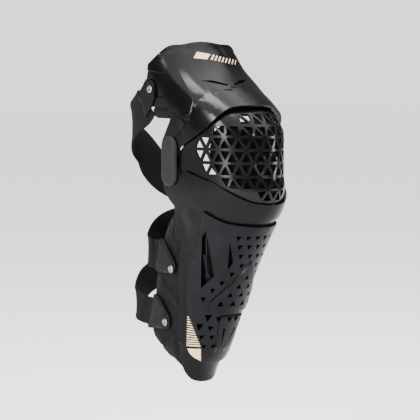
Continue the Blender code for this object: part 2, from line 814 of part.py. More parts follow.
def make_strap(name, path, levels, width, material, count=22):
    """Flat strap with its inner face on the path."""
    bm = bmesh.new()
    rings = []
    for point, outward, across in strap_frames(path, levels, count):
        half = across * (width / 2)
        wall = outward * STRAP_WALL
        rings.append([bm.verts.new(point + shift) for shift in (-half, half, half + wall, wall - half)])
    for near, far in zip(rings, rings[1:]):
        for i in range(4):
            bm.faces.new((near[i], near[(i + 1) % 4], far[(i + 1) % 4], far[i]))
    bm.faces.new(rings[0])
    bm.faces.new(rings[-1])
    bmesh.ops.triangulate(bm, faces=bm.faces[:])
    return add_object(name, bm, material)


def make_tab(name, corners, post, level, material):
    """Folded hook tab laid on the side wall at -X, with a hole for its post."""
    outline = [at_side(y, z) for y, z in corners]
    hole = arc_points(*post, POST_RADIUS + POST_SLACK, 0, 315, 7)
    return laid_sheet(name, mirrored_hole(outline)[::-1], [mirrored_hole(hole)], lambda u, v: level + TAB_WALL,
                      TAB_WALL, material)


def make_post(name, post, low, high, material):
    """Rivet through the side wall at -X, headed at both ends, from one level of the form to another."""
    u, v = at_side(*post)
    seat = on_form(-u, v)
    axis = (off_form(-u, v, POST_RADIUS) - seat).normalized()
    low -= GAP
    high += GAP
    rings = ((low - POST_HEAD_THICK, POST_HEAD_RADIUS), (low, POST_HEAD_RADIUS), (low, POST_RADIUS),
             (high, POST_RADIUS), (high, POST_HEAD_RADIUS), (high + POST_HEAD_THICK, POST_HEAD_RADIUS))
    return turned_pin(name, seat, axis, rings, material)


def clear_scene():
    for item in list(bpy.data.objects):
        bpy.data.objects.remove(item)
    bpy.context.scene.collection.children.link(COLLECTION)


def build():
    clear_scene()
    shell = add_material("black_shell", (0.018, 0.018, 0.021), 0.25)
    plate = add_material("grey_plate", (0.030, 0.030, 0.036), 0.4)
    cover = add_material("hinge_grey", (0.07, 0.07, 0.075), 0.55)
    pad = add_material("grey_textile", (0.05, 0.05, 0.055), 0.9)
    web = add_material("black_webbing", (0.012, 0.012, 0.013), 0.85)
    steel = add_material("pin_steel", (0.55, 0.55, 0.56), 0.3, 1.0)
    make_thigh_shell(shell)
    make_thigh_pad(pad)
    make_knee_cup(shell)
    make_knee_pad(pad)
    make_shin_frame(shell)
    make_shin_plate(plate)
    make_shin_pad(pad)
    for side, word in ((-1, "lateral"), (1, "medial")):
        make_hinge_cover("hinge_cover_" + word, side, cover)
        make_hinge_pin("hinge_pin_upper_" + word, side, 1, steel)
        make_hinge_pin("hinge_pin_lower_" + word, side, -1, steel)
    on_pad = SHIN_PAD_LEVEL + 2 * GAP
    over_strap = on_pad + STRAP_WALL + GAP
    tabs = (("thigh", THIGH_TAB, THIGH_POST, GAP, -SHELL_WALL - POCKET_DEPTH - GAP - PAD_WALL),
            ("calf_upper", CALF_TAB_UPPER, CALF_POST_UPPER, over_strap, on_pad - 2 * GAP - PAD_WALL),
            ("calf_lower", CALF_TAB_LOWER, CALF_POST_LOWER, over_strap, on_pad - 2 * GAP - PAD_WALL))
    for word, corners, post, level, low in tabs:
        make_tab(word + "_strap_tab", corners, post, level, cover)
        make_post(word + "_strap_post", post, low, level + TAB_WALL, steel)
    make_strap("thigh_strap", THIGH_STRAP_PATH, (-STRAP_WALL, GAP), THIGH_STRAP_WIDTH, web)
    make_strap("calf_upper_strap", CALF_STRAP_UPPER_PATH, (on_pad, on_pad + HOLLOW_SIDE), CALF_STRAP_WIDTH, web)
    make_strap("calf_lower_strap", CALF_STRAP_LOWER_PATH, (on_pad, on_pad), CALF_STRAP_WIDTH, web)


build()
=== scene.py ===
"""Looks of the hard-shell knee and shin guard, as an add-on that is run as a script.

Every plate, pad and decal is a flat sheet, cut to its outline with its holes
and then laid on one form of the bent leg, as the solids are, with a finer
grid. Metres, +Z up; the guard faces -Y and its strap hooks are at -X.
"""

import math

import bmesh
import bpy
import numpy as np
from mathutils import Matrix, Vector


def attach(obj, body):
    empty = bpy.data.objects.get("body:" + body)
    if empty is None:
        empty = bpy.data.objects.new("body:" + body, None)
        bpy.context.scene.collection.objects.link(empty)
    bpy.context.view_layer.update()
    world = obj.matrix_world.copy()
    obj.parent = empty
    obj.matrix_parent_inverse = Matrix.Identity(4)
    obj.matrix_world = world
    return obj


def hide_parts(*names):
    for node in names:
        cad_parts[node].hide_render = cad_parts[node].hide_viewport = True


bl_info = {
    "name": "Knee and shin guard",
    "version": (1, 0, 0),
    "blender": (4, 5, 0),
    "location": "3D View > Sidebar > Guard",
    "description": "Dresses the knee and shin guard piece by piece and sets its stage",
    "category": "Object",
}

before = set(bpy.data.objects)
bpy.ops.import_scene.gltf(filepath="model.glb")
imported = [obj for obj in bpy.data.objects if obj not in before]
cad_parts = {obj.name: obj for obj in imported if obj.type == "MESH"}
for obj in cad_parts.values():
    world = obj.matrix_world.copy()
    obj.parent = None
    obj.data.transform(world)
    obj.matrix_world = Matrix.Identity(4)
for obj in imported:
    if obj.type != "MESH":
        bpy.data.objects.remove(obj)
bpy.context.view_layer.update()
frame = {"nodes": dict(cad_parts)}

# Driving sizes of the leg form
THIGH_HEIGHT = 0.166
SHIN_LENGTH = 0.295
KNEE_DEPTH = 0.138
HINGE_HALF_WIDTH = 0.073

# Walls, reliefs and clearances
SHELL_WALL = 0.0028
PAD_WALL = 0.006
STRAP_WALL = 0.0022
GAP = 0.0004
LIP_RISE = 0.0022
POCKET_DEPTH = 0.0014
LINING_DROP = 0.0030
CUP_PLAY = 0.0012
PLATE_PLAY = 0.0014
PAD_PLAY = 0.0012
SHIN_PAD_LEVEL = -2 * (SHELL_WALL + GAP) - PLATE_PLAY - PAD_PLAY
PANEL_RISE = 0.0028
STEP_WIDTH = 0.0012

# Lattice of the knee cup
LATTICE_PITCH = 0.0200
STRUT_WIDTH = 0.0045
LATTICE_MARGIN = 0.0035
SHIN_HOLE = 0.0058

# Hinge
HINGE_Y = -0.005
PIVOT_SPACING = 0.036
PIVOT_RADIUS = 0.004
ARM_RADIUS = 0.015
COVER_WIDTH = 0.029
COVER_HEIGHT = 0.067
COVER_THICK = 0.005

# Straps, hook tabs and their posts on the side at -X; corners and posts as (y, z)
THIGH_STRAP_WIDTH = 0.048
CALF_STRAP_WIDTH = 0.040
TAB_WALL = 0.003
THIGH_TAB = ((0.026, 0.104), (0.026, 0.084), (0.046, 0.056), (0.062, 0.086), (0.040, 0.110))
THIGH_POST = (0.033, 0.095)
CALF_TAB_UPPER = ((0.009, -0.1425), (0.014, -0.1560), (0.055, -0.1550), (0.041, -0.1080), (0.031, -0.1120))
CALF_POST_UPPER = (0.019, -0.1485)
CALF_TAB_LOWER = ((0.032, -0.2180), (0.034, -0.2330), (0.083, -0.2370), (0.063, -0.1870), (0.055, -0.1880))
CALF_POST_LOWER = (0.041, -0.2240)
POST_RADIUS = 0.0032
POST_HEAD_RADIUS = 0.0052
POST_HEAD_THICK = 0.0018
POST_SLACK = 0.0012
# How far a flat strap bridges the hollow of the side wall below the knee
HOLLOW_SIDE = 0.0012
# Middle of the leg behind the knee, that the straps go round, as a share of the knee depth
STRAP_CENTRE = 0.2

# Height as a share of the thigh height above the knee and of the shin length
# below it. Front and side lines as shares of the knee depth, half width as a
# share of the hinge half width, and how square the section is.
LEG_SECTIONS = (
    # height, front, side, half width, squareness
    (-1.06, 0.05, 0.29, 0.50, 2.1),
    (-1.00, 0.00, 0.285, 0.53, 2.1),
    (-0.92, -0.11, 0.27, 0.59, 2.1),
    (-0.85, -0.20, 0.25, 0.63, 2.1),
    (-0.71, -0.345, 0.20, 0.67, 2.1),
    (-0.57, -0.49, 0.165, 0.73, 2.1),
    (-0.46, -0.615, 0.13, 0.77, 2.1),
    (-0.366, -0.735, 0.09, 0.80, 2.1),
    (-0.31, -0.81, 0.07, 0.83, 2.1),
    (-0.25, -0.895, 0.05, 0.88, 2.1),
    (-0.19, -0.945, 0.03, 0.93, 2.1),
    (-0.12, -0.98, 0.01, 0.98, 2.1),
    (-0.05, -0.955, 0.00, 1.00, 2.1),
    (0.03, -0.955, 0.00, 1.00, 2.1),
    (0.22, -0.93, -0.02, 1.00, 2.2),
    (0.35, -0.80, 0.00, 1.00, 2.35),
    (0.45, -0.62, 0.05, 1.005, 2.5),
    (0.57, -0.395, 0.17, 1.01, 2.5),
    (0.73, -0.11, 0.32, 1.02, 2.5),
    (0.90, 0.08, 0.38, 1.00, 2.4),
    (1.00, 0.175, 0.41, 0.97, 2.4),
)

# Lower edge of the cuff over the knee, from the front to the side
RIM_LINE = (
    # round, height
    (0.00, 0.440),
    (0.16, 0.436),
    (0.29, 0.418),
    (0.42, 0.365),
    (0.53, 0.300),
    (0.67, 0.220),
    (0.80, 0.150),
)
# Upper edge of the band that stands proud along that rim
BAND_LINE = (
    (0.00, 0.575),
    (0.24, 0.562),
    (0.36, 0.540),
    (0.57, 0.470),
    (0.74, 0.340),
    (0.93, 0.180),
)
# Top edge of the cuff, fuller in the middle than the solid's
CUFF_TOP = (
    (0.94, 0.775),
    (0.73, 0.865),
    (0.58, 0.915),
    (0.38, 0.930),
    (0.18, 0.948),
    (0.00, 0.955),
)
# Upper edge of the collar below the knee
COLLAR_LINE = (
    (0.00, -0.188),
    (0.19, -0.175),
    (0.38, -0.131),
    (0.54, -0.087),
    (0.68, -0.062),
    (0.80, -0.040),
)
# Lower edge of the collar
COLLAR_FOOT = (
    (0.00, -0.262),
    (0.14, -0.259),
    (0.32, -0.251),
    (0.47, -0.233),
    (0.65, -0.203),
)
# Top edge of the shin plate
PLATE_TOP = (
    (0.00, -0.291),
    (0.12, -0.288),
    (0.33, -0.276),
    (0.47, -0.257),
    (0.62, -0.222),
)
# Side and lower edges of the shin plate
PLATE_SIDE = (
    (0.64, -0.347),
    (0.68, -0.443),
    (0.67, -0.635),
    (0.57, -0.850),
    (0.49, -0.900),
    (0.32, -0.935),
    (0.00, -0.948),
)
# Opening of the frame behind the shin plate
FRAME_WINDOW = (
    (0.00, -0.325),
    (0.32, -0.308),
    (0.51, -0.270),
    (0.55, -0.350),
    (0.59, -0.440),
    (0.57, -0.630),
    (0.45, -0.820),
    (0.25, -0.900),
    (0.00, -0.908),
)
# Rear edge of the side rail under the arm, down to the tip
RAIL_EDGE = (
    (0.93, -0.250),
    (0.88, -0.335),
    (0.83, -0.419),
    (0.81, -0.641),
    (0.76, -0.860),
    (0.74, -0.925),
    (0.64, -0.985),
    (0.45, -1.026),
    (0.22, -1.042),
    (0.00, -1.046),
)
# Raised panels of the shin plate, right halves from the top
UPPER_PANEL = ((0.00, -0.452), (0.15, -0.545), (0.36, -0.641), (0.35, -0.677), (0.18, -0.688),
               (0.00, -0.668))
LOWER_PANEL = ((0.00, -0.708), (0.20, -0.708), (0.13, -0.862), (0.00, -0.868))
# Windows and slits of the shin plate, and the slits of the cuff
SIDE_WINDOW = ((0.56, -0.311), (0.59, -0.341), (0.50, -0.575), (0.37, -0.515))
FRONT_SLIT = ((0.30, -0.353), (0.24, -0.485), (0.205, -0.455))
LOW_SLIT = ((0.105, -0.765), (0.075, -0.765), (0.055, -0.860))
CUFF_SLIT = ((0.35, 0.645), (0.20, 0.642), (0.04, 0.612), (0.06, 0.600), (0.20, 0.620))

# Triangular holes of the shin plate: height, pointing down or up, size in
# shares of the hole size, and the places round in shares of the pitch.
SHIN_PITCH = 0.013
SHIN_ROWS = (
    # height, points up, size, places
    (-0.338, False, 1.0, (0.5, 1.5, 2.5)),
    (-0.380, False, 1.0, (0.0, 1.0, 2.0)),
    (-0.424, False, 1.0, (0.5, 1.5)),
    (-0.470, False, 1.0, (1.0,)),
    (-0.509, False, 1.0, (1.7,)),
    (-0.551, False, 1.0, (2.4,)),
    (-0.587, False, 1.0, (3.1,)),
    (-0.629, False, 1.0, (3.8,)),
    (-0.521, True, 1.0, (0.0,)),
    (-0.563, True, 1.0, (0.6,)),
    (-0.603, True, 1.0, (0.0, 1.2)),
    (-0.646, True, 1.1, (0.6, 1.85)),
    (-0.722, False, 1.1, (0.4, 1.5)),
    (-0.716, False, 1.5, (2.65,)),
    (-0.761, False, 1.5, (3.25,)),
    (-0.768, False, 1.1, (2.05,)),
    (-0.812, False, 1.0, (1.6, 2.7)),
    (-0.858, False, 0.9, (1.1, 2.1)),
)

# Middle line of each strap: across as a share of the hinge half width, back
# as a share of the knee depth, and height as in the leg sections. A row on the
# wall lies flat on the side wall, and its first value only gives the side.
THIGH_STRAP_PATH = (
    # across, back, height, on the wall
    (-1.00, 0.333, 0.464, True),
    (-1.00, 0.400, 0.405, True),
    (-0.98, 0.51, 0.335, False),
    (-0.88, 0.62, 0.26, False),
    (-0.62, 0.75, 0.150, False),
    (-0.29, 0.83, 0.05, False),
    (0.00, 0.86, -0.05, False),
    (0.32, 0.81, -0.12, False),
    (0.68, 0.66, -0.165, False),
    (0.93, 0.42, -0.190, False),
    (1.00, 0.14, -0.200, True),
    (1.00, -0.06, -0.200, True),
)
CALF_STRAP_UPPER_PATH = (
    (-1.00, 0.250, -0.445, True),
    (-1.00, 0.405, -0.445, True),
    (-0.70, 0.48, -0.437, False),
    (-0.55, 0.57, -0.415, False),
    (-0.20, 0.65, -0.355, False),
    (0.20, 0.66, -0.320, False),
    (0.56, 0.57, -0.315, False),
    (0.75, 0.42, -0.325, False),
    (1.00, 0.25, -0.335, True),
    (1.00, 0.11, -0.340, True),
)
CALF_STRAP_LOWER_PATH = (
    (-1.00, 0.430, -0.725, True),
    (-1.00, 0.600, -0.722, True),
    (-0.61, 0.70, -0.705, False),
    (-0.51, 0.81, -0.675, False),
    (-0.12, 0.91, -0.600, False),
    (0.30, 0.87, -0.555, False),
    (0.56, 0.70, -0.545, False),
    (0.68, 0.57, -0.550, False),
    (1.00, 0.42, -0.558, True),
    (1.00, 0.26, -0.562, True),
)

# Creases of the cuff as lines of (round, height), and how far the fall from them reaches
CUFF_CREASE = ((-0.57, 0.90), (-0.52, 0.71), (-0.55, 0.61), (-0.60, 0.44), (-0.72, 0.30))
CREASE_REACH = 0.024
CUFF_RIM_CREASE = ((-0.90, 0.80), (-0.70, 0.86), (-0.42, 0.905), (0.0, 0.885), (0.42, 0.905), (0.70, 0.86),
                   (0.90, 0.80))
RIM_GROOVE_DEPTH = 0.0009
RIM_GROOVE_REACH = 0.0035
# Four-cornered boss at the front of the knee cup, as (round, height)
CUP_BOSS = ((0.00, 0.085), (0.17, -0.01), (0.00, -0.115), (-0.17, -0.01))
BOSS_RISE = 0.0020
BOSS_SLOPE = 0.004
# Pocket round the thigh tab on the side wall, as (y, z)
SIDE_POCKET = ((0.002, 0.116), (0.008, 0.084), (0.050, 0.084), (0.050, 0.121))
# Printed block of the cuff, and the number and spacing of its slanted stripes
CUFF_BLOCK = ((-0.27, 0.820), (-0.17, 0.870), (0.05, 0.850), (-0.06, 0.810))
CUFF_STRIPES = 8
STRIPE_STEP = 0.056
# Printed stripes and block at each side of the shin plate, from the top stripe down
SHIN_STRIPES = 13
SHIN_STRIPE_TOP = -0.715
SHIN_STRIPE_DROP = 0.135
PRINT_LIFT = 0.0003
SHIN_BLOCK = ((-0.58, -0.869), (-0.36, -0.868), (-0.31, -0.929), (-0.44, -0.912), (-0.53, -0.893))
# Seams of the shin padding on each side wall, as (y, z)
PAD_SEAMS = (
    ((0.004, -0.072), (0.014, -0.098), (0.006, -0.124), (0.020, -0.138), (0.030, -0.150)),
    ((0.034, -0.176), (0.022, -0.186), (0.010, -0.196)),
    ((0.050, -0.192), (0.032, -0.200), (0.014, -0.206)),
    ((0.064, -0.262), (0.040, -0.246), (0.022, -0.232)),
)

# Padding as dressed: share of its wall, and how far and how wide its edges drop
DRESSED_PAD_SHARE = 0.8
PAD_EDGE_DROP = 0.0018
PAD_EDGE_REACH = 0.0045

# Ribs inside the side windows of the shin plate, and the rim round the windows
RIB_WIDTH = 0.0022
RIB_WALL = 0.0010
RIB_LEVEL = -0.0016
WINDOW_RIM_RISE = 0.0010

# Round each calf post the padding stays flat within this reach, where the strap lies on it
STRAP_SEAT = 0.030

# Stage: where the camera stands, the knee's middle in the picture, and the lights
CAMERA_AZIMUTH = -40
CAMERA_ELEVATION = 5
CAMERA_DISTANCE = 2.5
METRES_PER_PIXEL = 0.001357
PICTURE_SIDE = 420
KNEE_PIXEL = (209.7, 158.7)
FLOOR_HEIGHT = -0.46
ROOM_LIGHT = 0.22
BACKDROP_LIGHT = 1.7
DAYLIGHT = 5.0
SOFT_BOXES = (
    # name, place, size, power
    ("left_box", (-2.0, -0.3, 0.7), (0.35, 1.8), 85),
    ("front_box", (-0.1, -2.2, 1.3), (0.9, 0.4), 50),
    ("right_box", (1.6, -1.5, 0.5), (0.25, 1.6), 45),
    ("top_box", (0.0, 0.3, 1.9), (0.8, 0.8), 45),
)


def smooth_row(rows, at):
    """Monotone cubic through the rows, read at a value of their first column."""
    table = np.array(rows, dtype=float)
    knots, values = table[:, 0], table[:, 1:]
    steps = np.diff(knots)[:, None]
    slopes = np.diff(values, axis=0) / steps
    tangents = np.zeros_like(values)
    tangents[0], tangents[-1] = slopes[0], slopes[-1]
    for i in range(1, len(knots) - 1):
        before, after = slopes[i - 1], slopes[i]
        near = 2 * steps[i] + steps[i - 1]
        far = steps[i] + 2 * steps[i - 1]
        safe_before = np.where(before == 0, 1, before)
        safe_after = np.where(after == 0, 1, after)
        mean = (near + far) / (near / safe_before + far / safe_after)
        tangents[i] = np.where(before * after > 0, mean, 0)
    at = min(max(at, knots[0]), knots[-1])
    k = int(min(max(np.searchsorted(knots, at) - 1, 0), len(knots) - 2))
    t = (at - knots[k]) / steps[k, 0]
    return ((1 + 2 * t) * (1 - t) ** 2 * values[k] + t * (1 - t) ** 2 * steps[k] * tangents[k]
            + t * t * (3 - 2 * t) * values[k + 1] + t * t * (t - 1) * steps[k] * tangents[k + 1])


HEIGHTS = np.linspace(LEG_SECTIONS[0][0], LEG_SECTIONS[-1][0], 900)
DENSE_SECTIONS = np.array([smooth_row(LEG_SECTIONS, height) for height in HEIGHTS])
TURNS = np.linspace(0, math.pi / 2, 61)
SECTION_CACHE = {}


def section(v):
    """Half a section of the leg form: arc length, x and y from the front to the side."""
    key = round(v, 5)
    if key not in SECTION_CACHE:
        front, side, half, square = [np.interp(v, HEIGHTS, column) for column in DENSE_SECTIONS.T]
        front, side, half = front * KNEE_DEPTH, side * KNEE_DEPTH, half * HINGE_HALF_WIDTH
        x = half * np.sin(TURNS) ** (2 / square)
        y = side - (side - front) * np.cos(TURNS) ** (2 / square)
        arc = np.concatenate([[0], np.cumsum(np.hypot(np.diff(x), np.diff(y)))])
        SECTION_CACHE[key] = (arc, x, y)
    return SECTION_CACHE[key]


def unit_height(v):
    return THIGH_HEIGHT if v > 0 else SHIN_LENGTH


def height_share(z):
    return z / unit_height(z)


def half_arc(v):
    """Length round the form from the front to the start of the side wall."""
    return section(v)[0][-1]


def on_form(u, v):
    """Point of the form. u is 0 at the front and 1 where the flat side wall starts."""
    arc, xs, ys = section(v)
    round_share = abs(u)
    if round_share > 1:
        x, y = xs[-1], ys[-1] + (round_share - 1) * KNEE_DEPTH
    else:
        x = np.interp(round_share * arc[-1], arc, xs)
        y = np.interp(round_share * arc[-1], arc, ys)
    return Vector((math.copysign(x, u), y, v * unit_height(v)))


def off_form(u, v, out):
    """Point at a distance out from the form, square to it."""
    step = 0.012
    across = on_form(u + step, v) - on_form(u - step, v)
    along = on_form(u, v + step) - on_form(u, v - step)
    return on_form(u, v) + across.cross(along).normalized() * out


def at_side(y, z):
    """Outline point (u, v) of the side wall at a given y and z."""
    v = height_share(z)
    return (1 + (y - section(v)[2][-1]) / KNEE_DEPTH, v)


def shifted(line, du, dv):
    return [(u + du, v + dv) for u, v in line]


def arc_points(centre_y, centre_z, radius, start, end, steps):
    """Side wall points on an arc; angles in degrees from +Y towards +Z."""
    points = []
    for i in range(steps + 1):
        angle = math.radians(start + (end - start) * i / steps)
        points.append(at_side(centre_y + radius * math.cos(angle), centre_z + radius * math.sin(angle)))
    return points


def both_sides(half):
    """Closed outline from its half on u >= 0, listed from one end of the middle line to the other."""
    mirrored = [(-u, v) for u, v in reversed(half) if abs(u) > 1e-9]
    return list(half) + mirrored


def mirrored_hole(points):
    return [(-u, v) for u, v in points]


def near_hole(u, v, corners):
    """Hole round (u, v) with its corners in metres across and up."""
    return [(u + x / half_arc(v), v + z / unit_height(v)) for x, z in corners]


def triangle_corners(size, points_up):
    sign = 1 if points_up else -1
    return [(0, sign * 0.62 * size), (0.58 * size, -sign * 0.42 * size), (-0.58 * size, -sign * 0.42 * size)]


def is_inside(point, polygon):
    x, y = point
    inside = False
    for (ax, ay), (bx, by) in zip(polygon, polygon[1:] + polygon[:1]):
        if (ay > y) != (by > y) and x < (bx - ax) * (y - ay) / (by - ay) + ax:
            inside = not inside
    return inside


def line_distance(point, line):
    """Distance in metres, over the form, from (u, v) to a line of points."""
    u, v = point
    wide, high = half_arc(v), unit_height(v)
    best = 1.0
    for (au, av), (bu, bv) in zip(line, line[1:]):
        run_x, run_y = (bu - au) * wide, (bv - av) * high
        to_x, to_y = (u - au) * wide, (v - av) * high
        share = (to_x * run_x + to_y * run_y) / (run_x * run_x + run_y * run_y)
        share = min(max(share, 0), 1)
        best = min(best, math.hypot(to_x - run_x * share, to_y - run_y * share))
    return best


def edge_distance(point, polygon):
    return line_distance(point, polygon + polygon[:1])


def ramp(value, width):
    share = min(max(value / width, 0), 1)
    return share * share * (3 - 2 * share)


def tent(distance, reach):
    """1 on a line, falling straight to 0 at its reach."""
    return max(0.0, 1 - distance / reach)


def line_height(line, u):
    return float(np.interp(abs(u), [p[0] for p in line], [p[1] for p in line]))


def smooth_line(rows, steps):
    """More points along a line of (u, v) rows, on a smooth curve through them."""
    rows = [tuple(2 * a - b for a, b in zip(rows[0], rows[1]))] + list(rows) \
        + [tuple(2 * a - b for a, b in zip(rows[-1], rows[-2]))]
    points = []
    for i in range(1, len(rows) - 2):
        a, b, c, d = [np.array(row) for row in rows[i - 1:i + 3]]
        for k in range(steps):
            t = k / steps
            point = 0.5 * ((2 * b) + (c - a) * t + (2 * a - 5 * b + 4 * c - d) * t ** 2
                           + (3 * b - a - 3 * c + d) * t ** 3)
            points.append(tuple(point))
    return points + [tuple(rows[-2])]


def rounded(polygon, radius, steps=4):
    """Polygon of (u, v) with its corners rounded by a radius in metres."""
    points = []
    count = len(polygon)
    for i in range(count):
        corner = polygon[i]
        wide, high = half_arc(corner[1]), unit_height(corner[1])
        here = Vector((corner[0] * wide, corner[1] * high))
        before = Vector((polygon[i - 1][0] * wide, polygon[i - 1][1] * high))
        after = Vector((polygon[(i + 1) % count][0] * wide, polygon[(i + 1) % count][1] * high))
        cut = min(radius, (before - here).length * 0.45, (after - here).length * 0.45)
        start = here + (before - here).normalized() * cut
        end = here + (after - here).normalized() * cut
        for k in range(steps + 1):
            t = k / steps
            spot = start * (1 - t) ** 2 + here * (2 * t * (1 - t)) + end * t ** 2
            points.append((spot.x / wide, spot.y / high))
    return points


def flat_sheet(outline, holes):
    """Flat sheet one unit thick in the (u, v) plane, cut to its outline and holes."""
    curve = bpy.data.curves.new("sheet_outline", "CURVE")
    curve.dimensions = "2D"
    curve.fill_mode = "BOTH"
    curve.extrude = 0.5
    for points in [outline] + holes:
        spline = curve.splines.new("POLY")
        spline.points.add(len(points) - 1)
        for point, (u, v) in zip(spline.points, points):
            point.co = (u, v, 0, 1)
        spline.use_cyclic_u = True
    guide = bpy.data.objects.new("sheet_outline", curve)
    bpy.context.scene.collection.objects.link(guide)
    mesh = bpy.data.meshes.new_from_object(guide.evaluated_get(bpy.context.evaluated_depsgraph_get()))
    bm = bmesh.new()
    bm.from_mesh(mesh)
    bmesh.ops.remove_doubles(bm, verts=bm.verts[:], dist=1e-6)
    flat = {face for face in bm.faces if abs(face.normal.z) > 0.5}
    inner = {edge for face in flat for edge in face.edges if all(near in flat for near in edge.link_faces)}
    bmesh.ops.beautify_fill(bm, faces=list(flat), edges=list(inner))
    bpy.data.objects.remove(guide)
    bpy.data.curves.remove(curve)
    bpy.data.meshes.remove(mesh)
    return bm


def score(bm, point, normal):
    bmesh.ops.bisect_plane(bm, geom=bm.verts[:] + bm.edges[:] + bm.faces[:], dist=1e-6,
                           plane_co=(*point, 0), plane_no=(*normal, 0))


def score_grid(bm, step_u, step_v):
    us = [vert.co.x for vert in bm.verts]
    vs = [vert.co.y for vert in bm.verts]
    for i in range(math.ceil(min(us) / step_u), math.floor(max(us) / step_u) + 1):
        score(bm, (i * step_u, 0), (1, 0))
    for i in range(math.ceil(min(vs) / step_v), math.floor(max(vs) / step_v) + 1):
        score(bm, (0, i * step_v), (0, 1))


def score_step(bm, line, width):
    """Score both edges of a step that runs along a line of points."""
    for a, b in zip(line, line[1:]):
        run = (b[0] - a[0], b[1] - a[1])
        low = (min(a[0], b[0]) - 0.01, min(a[1], b[1]) - 0.01)
        high = (max(a[0], b[0]) + 0.01, max(a[1], b[1]) + 0.01)
        faces = []
        for face in bm.faces:
            us = [vert.co.x for vert in face.verts]
            vs = [vert.co.y for vert in face.verts]
            if min(us) <= high[0] and max(us) >= low[0] and min(vs) <= high[1] and max(vs) >= low[1]:
                faces.append(face)
        metric = (half_arc(a[1]), unit_height(a[1]))
        normal = (-run[1] * metric[1] / metric[0], run[0] * metric[0] / metric[1])
        size = math.hypot(normal[0] * metric[0], normal[1] * metric[1])
        for side in (-0.5, 0, 0.5):
            shift = side * width / size
            edges = {edge for face in faces if face.is_valid for edge in face.edges}
            verts = {vert for edge in edges for vert in edge.verts}
            cut = bmesh.ops.bisect_plane(
                bm, geom=list(verts) + list(edges) + [face for face in faces if face.is_valid], dist=1e-6,
                plane_co=(a[0] + normal[0] * shift, a[1] + normal[1] * shift, 0),
                plane_no=(-run[1], run[0], 0))
            faces = [item for item in cut["geom"] if isinstance(item, bmesh.types.BMFace)]


def draft_holes(bm, holes, draft):
    """Open the outer mouth of each hole by a draft in metres, so that the struts have slanted sides."""
    centres = []
    for hole in holes:
        middle = (sum(u for u, _ in hole) / len(hole), sum(v for _, v in hole) / len(hole))
        reach = max(math.dist(middle, corner) for corner in hole) + 1e-4
        centres.append((middle, reach, hole))
    for vert in bm.verts:
        if vert.co.z < 0 or not any(abs(face.normal.z) < 0.5 for face in vert.link_faces):
            continue
        spot = (vert.co.x, vert.co.y)
        for middle, reach, hole in centres:
            if math.dist(middle, spot) <= reach and edge_distance(spot, hole) < 3e-5:
                wide, high = half_arc(spot[1]), unit_height(spot[1])
                away = Vector(((spot[0] - middle[0]) * wide, (spot[1] - middle[1]) * high))
                away = away.normalized() * draft
                vert.co.x += away.x / wide
                vert.co.y += away.y / high
                break


def add_piece(name, bm, material, angle=35):
    """Finish a mesh as one shown piece of the guard."""
    bmesh.ops.recalc_face_normals(bm, faces=bm.faces[:])
    mesh = bpy.data.meshes.new(name)
    bm.to_mesh(mesh)
    bm.free()
    mesh.materials.append(material)
    mesh.shade_smooth()
    mesh.set_sharp_from_angle(angle=math.radians(angle))
    piece = bpy.data.objects.new(name, mesh)
    bpy.context.scene.collection.objects.link(piece)
    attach(piece, "root")
    return piece


def laid_sheet(name, outline, holes, out, wall, material, steps=(), grid=None, draft=0.0):
    """Sheet laid on the leg form, its outer face at out(u, v) and its inner face a wall below."""
    sizes = bpy.context.scene.guard_sizes
    bm = flat_sheet(outline, holes)
    score_grid(bm, *(grid or (sizes.grid_u, sizes.grid_v)))
    for line in steps:
        score_step(bm, line, STEP_WIDTH)
    if draft:
        draft_holes(bm, holes, draft)
    for vert in bm.verts:
        u, v, side = vert.co
        level = out(u, v)
        if side < 0:
            level -= wall
        vert.co = off_form(u, v, level)
    bmesh.ops.triangulate(bm, faces=bm.faces[:])
    return add_piece(name, bm, material)


def band_outline(line, width):
    """Closed outline of a band of a width in metres along a line of (u, v) points."""
    left, right = [], []
    for i, (u, v) in enumerate(line):
        wide, high = half_arc(v), unit_height(v)
        ahead = line[min(i + 1, len(line) - 1)]
        behind = line[max(i - 1, 0)]
        run = Vector(((ahead[0] - behind[0]) * wide, (ahead[1] - behind[1]) * high)).normalized() * width / 2
        left.append((u - run.y / wide, v + run.x / high))
        right.append((u + run.y / wide, v - run.x / high))
    return left + right[::-1]


class GuardSizes(bpy.types.PropertyGroup):
    """Sizes of the dressing."""
    grid_u: bpy.props.FloatProperty(
        name="Grid round",
        description="Spacing of the score lines round the leg, as a share of half the way round",
        default=0.045)
    grid_v: bpy.props.FloatProperty(
        name="Grid up",
        description="Spacing of the score lines up the leg, as a share of its height", default=0.032)
    strut_draft: bpy.props.FloatProperty(
        name="Strut draft",
        description="How much wider each lattice hole is at its outer mouth", default=0.0006,
        unit="LENGTH", subtype="DISTANCE")
    crease_rise: bpy.props.FloatProperty(
        name="Crease rise", description="How far the creases of the cuff stand out", default=0.0022,
        unit="LENGTH", subtype="DISTANCE")
    pad_swell: bpy.props.FloatProperty(
        name="Pad swell", description="How far the padding swells between its seams", default=0.0022,
        unit="LENGTH", subtype="DISTANCE")
    decal_wall: bpy.props.FloatProperty(
        name="Decal thickness", description="Thickness of the printed film", default=0.0002,
        unit="LENGTH", subtype="DISTANCE")


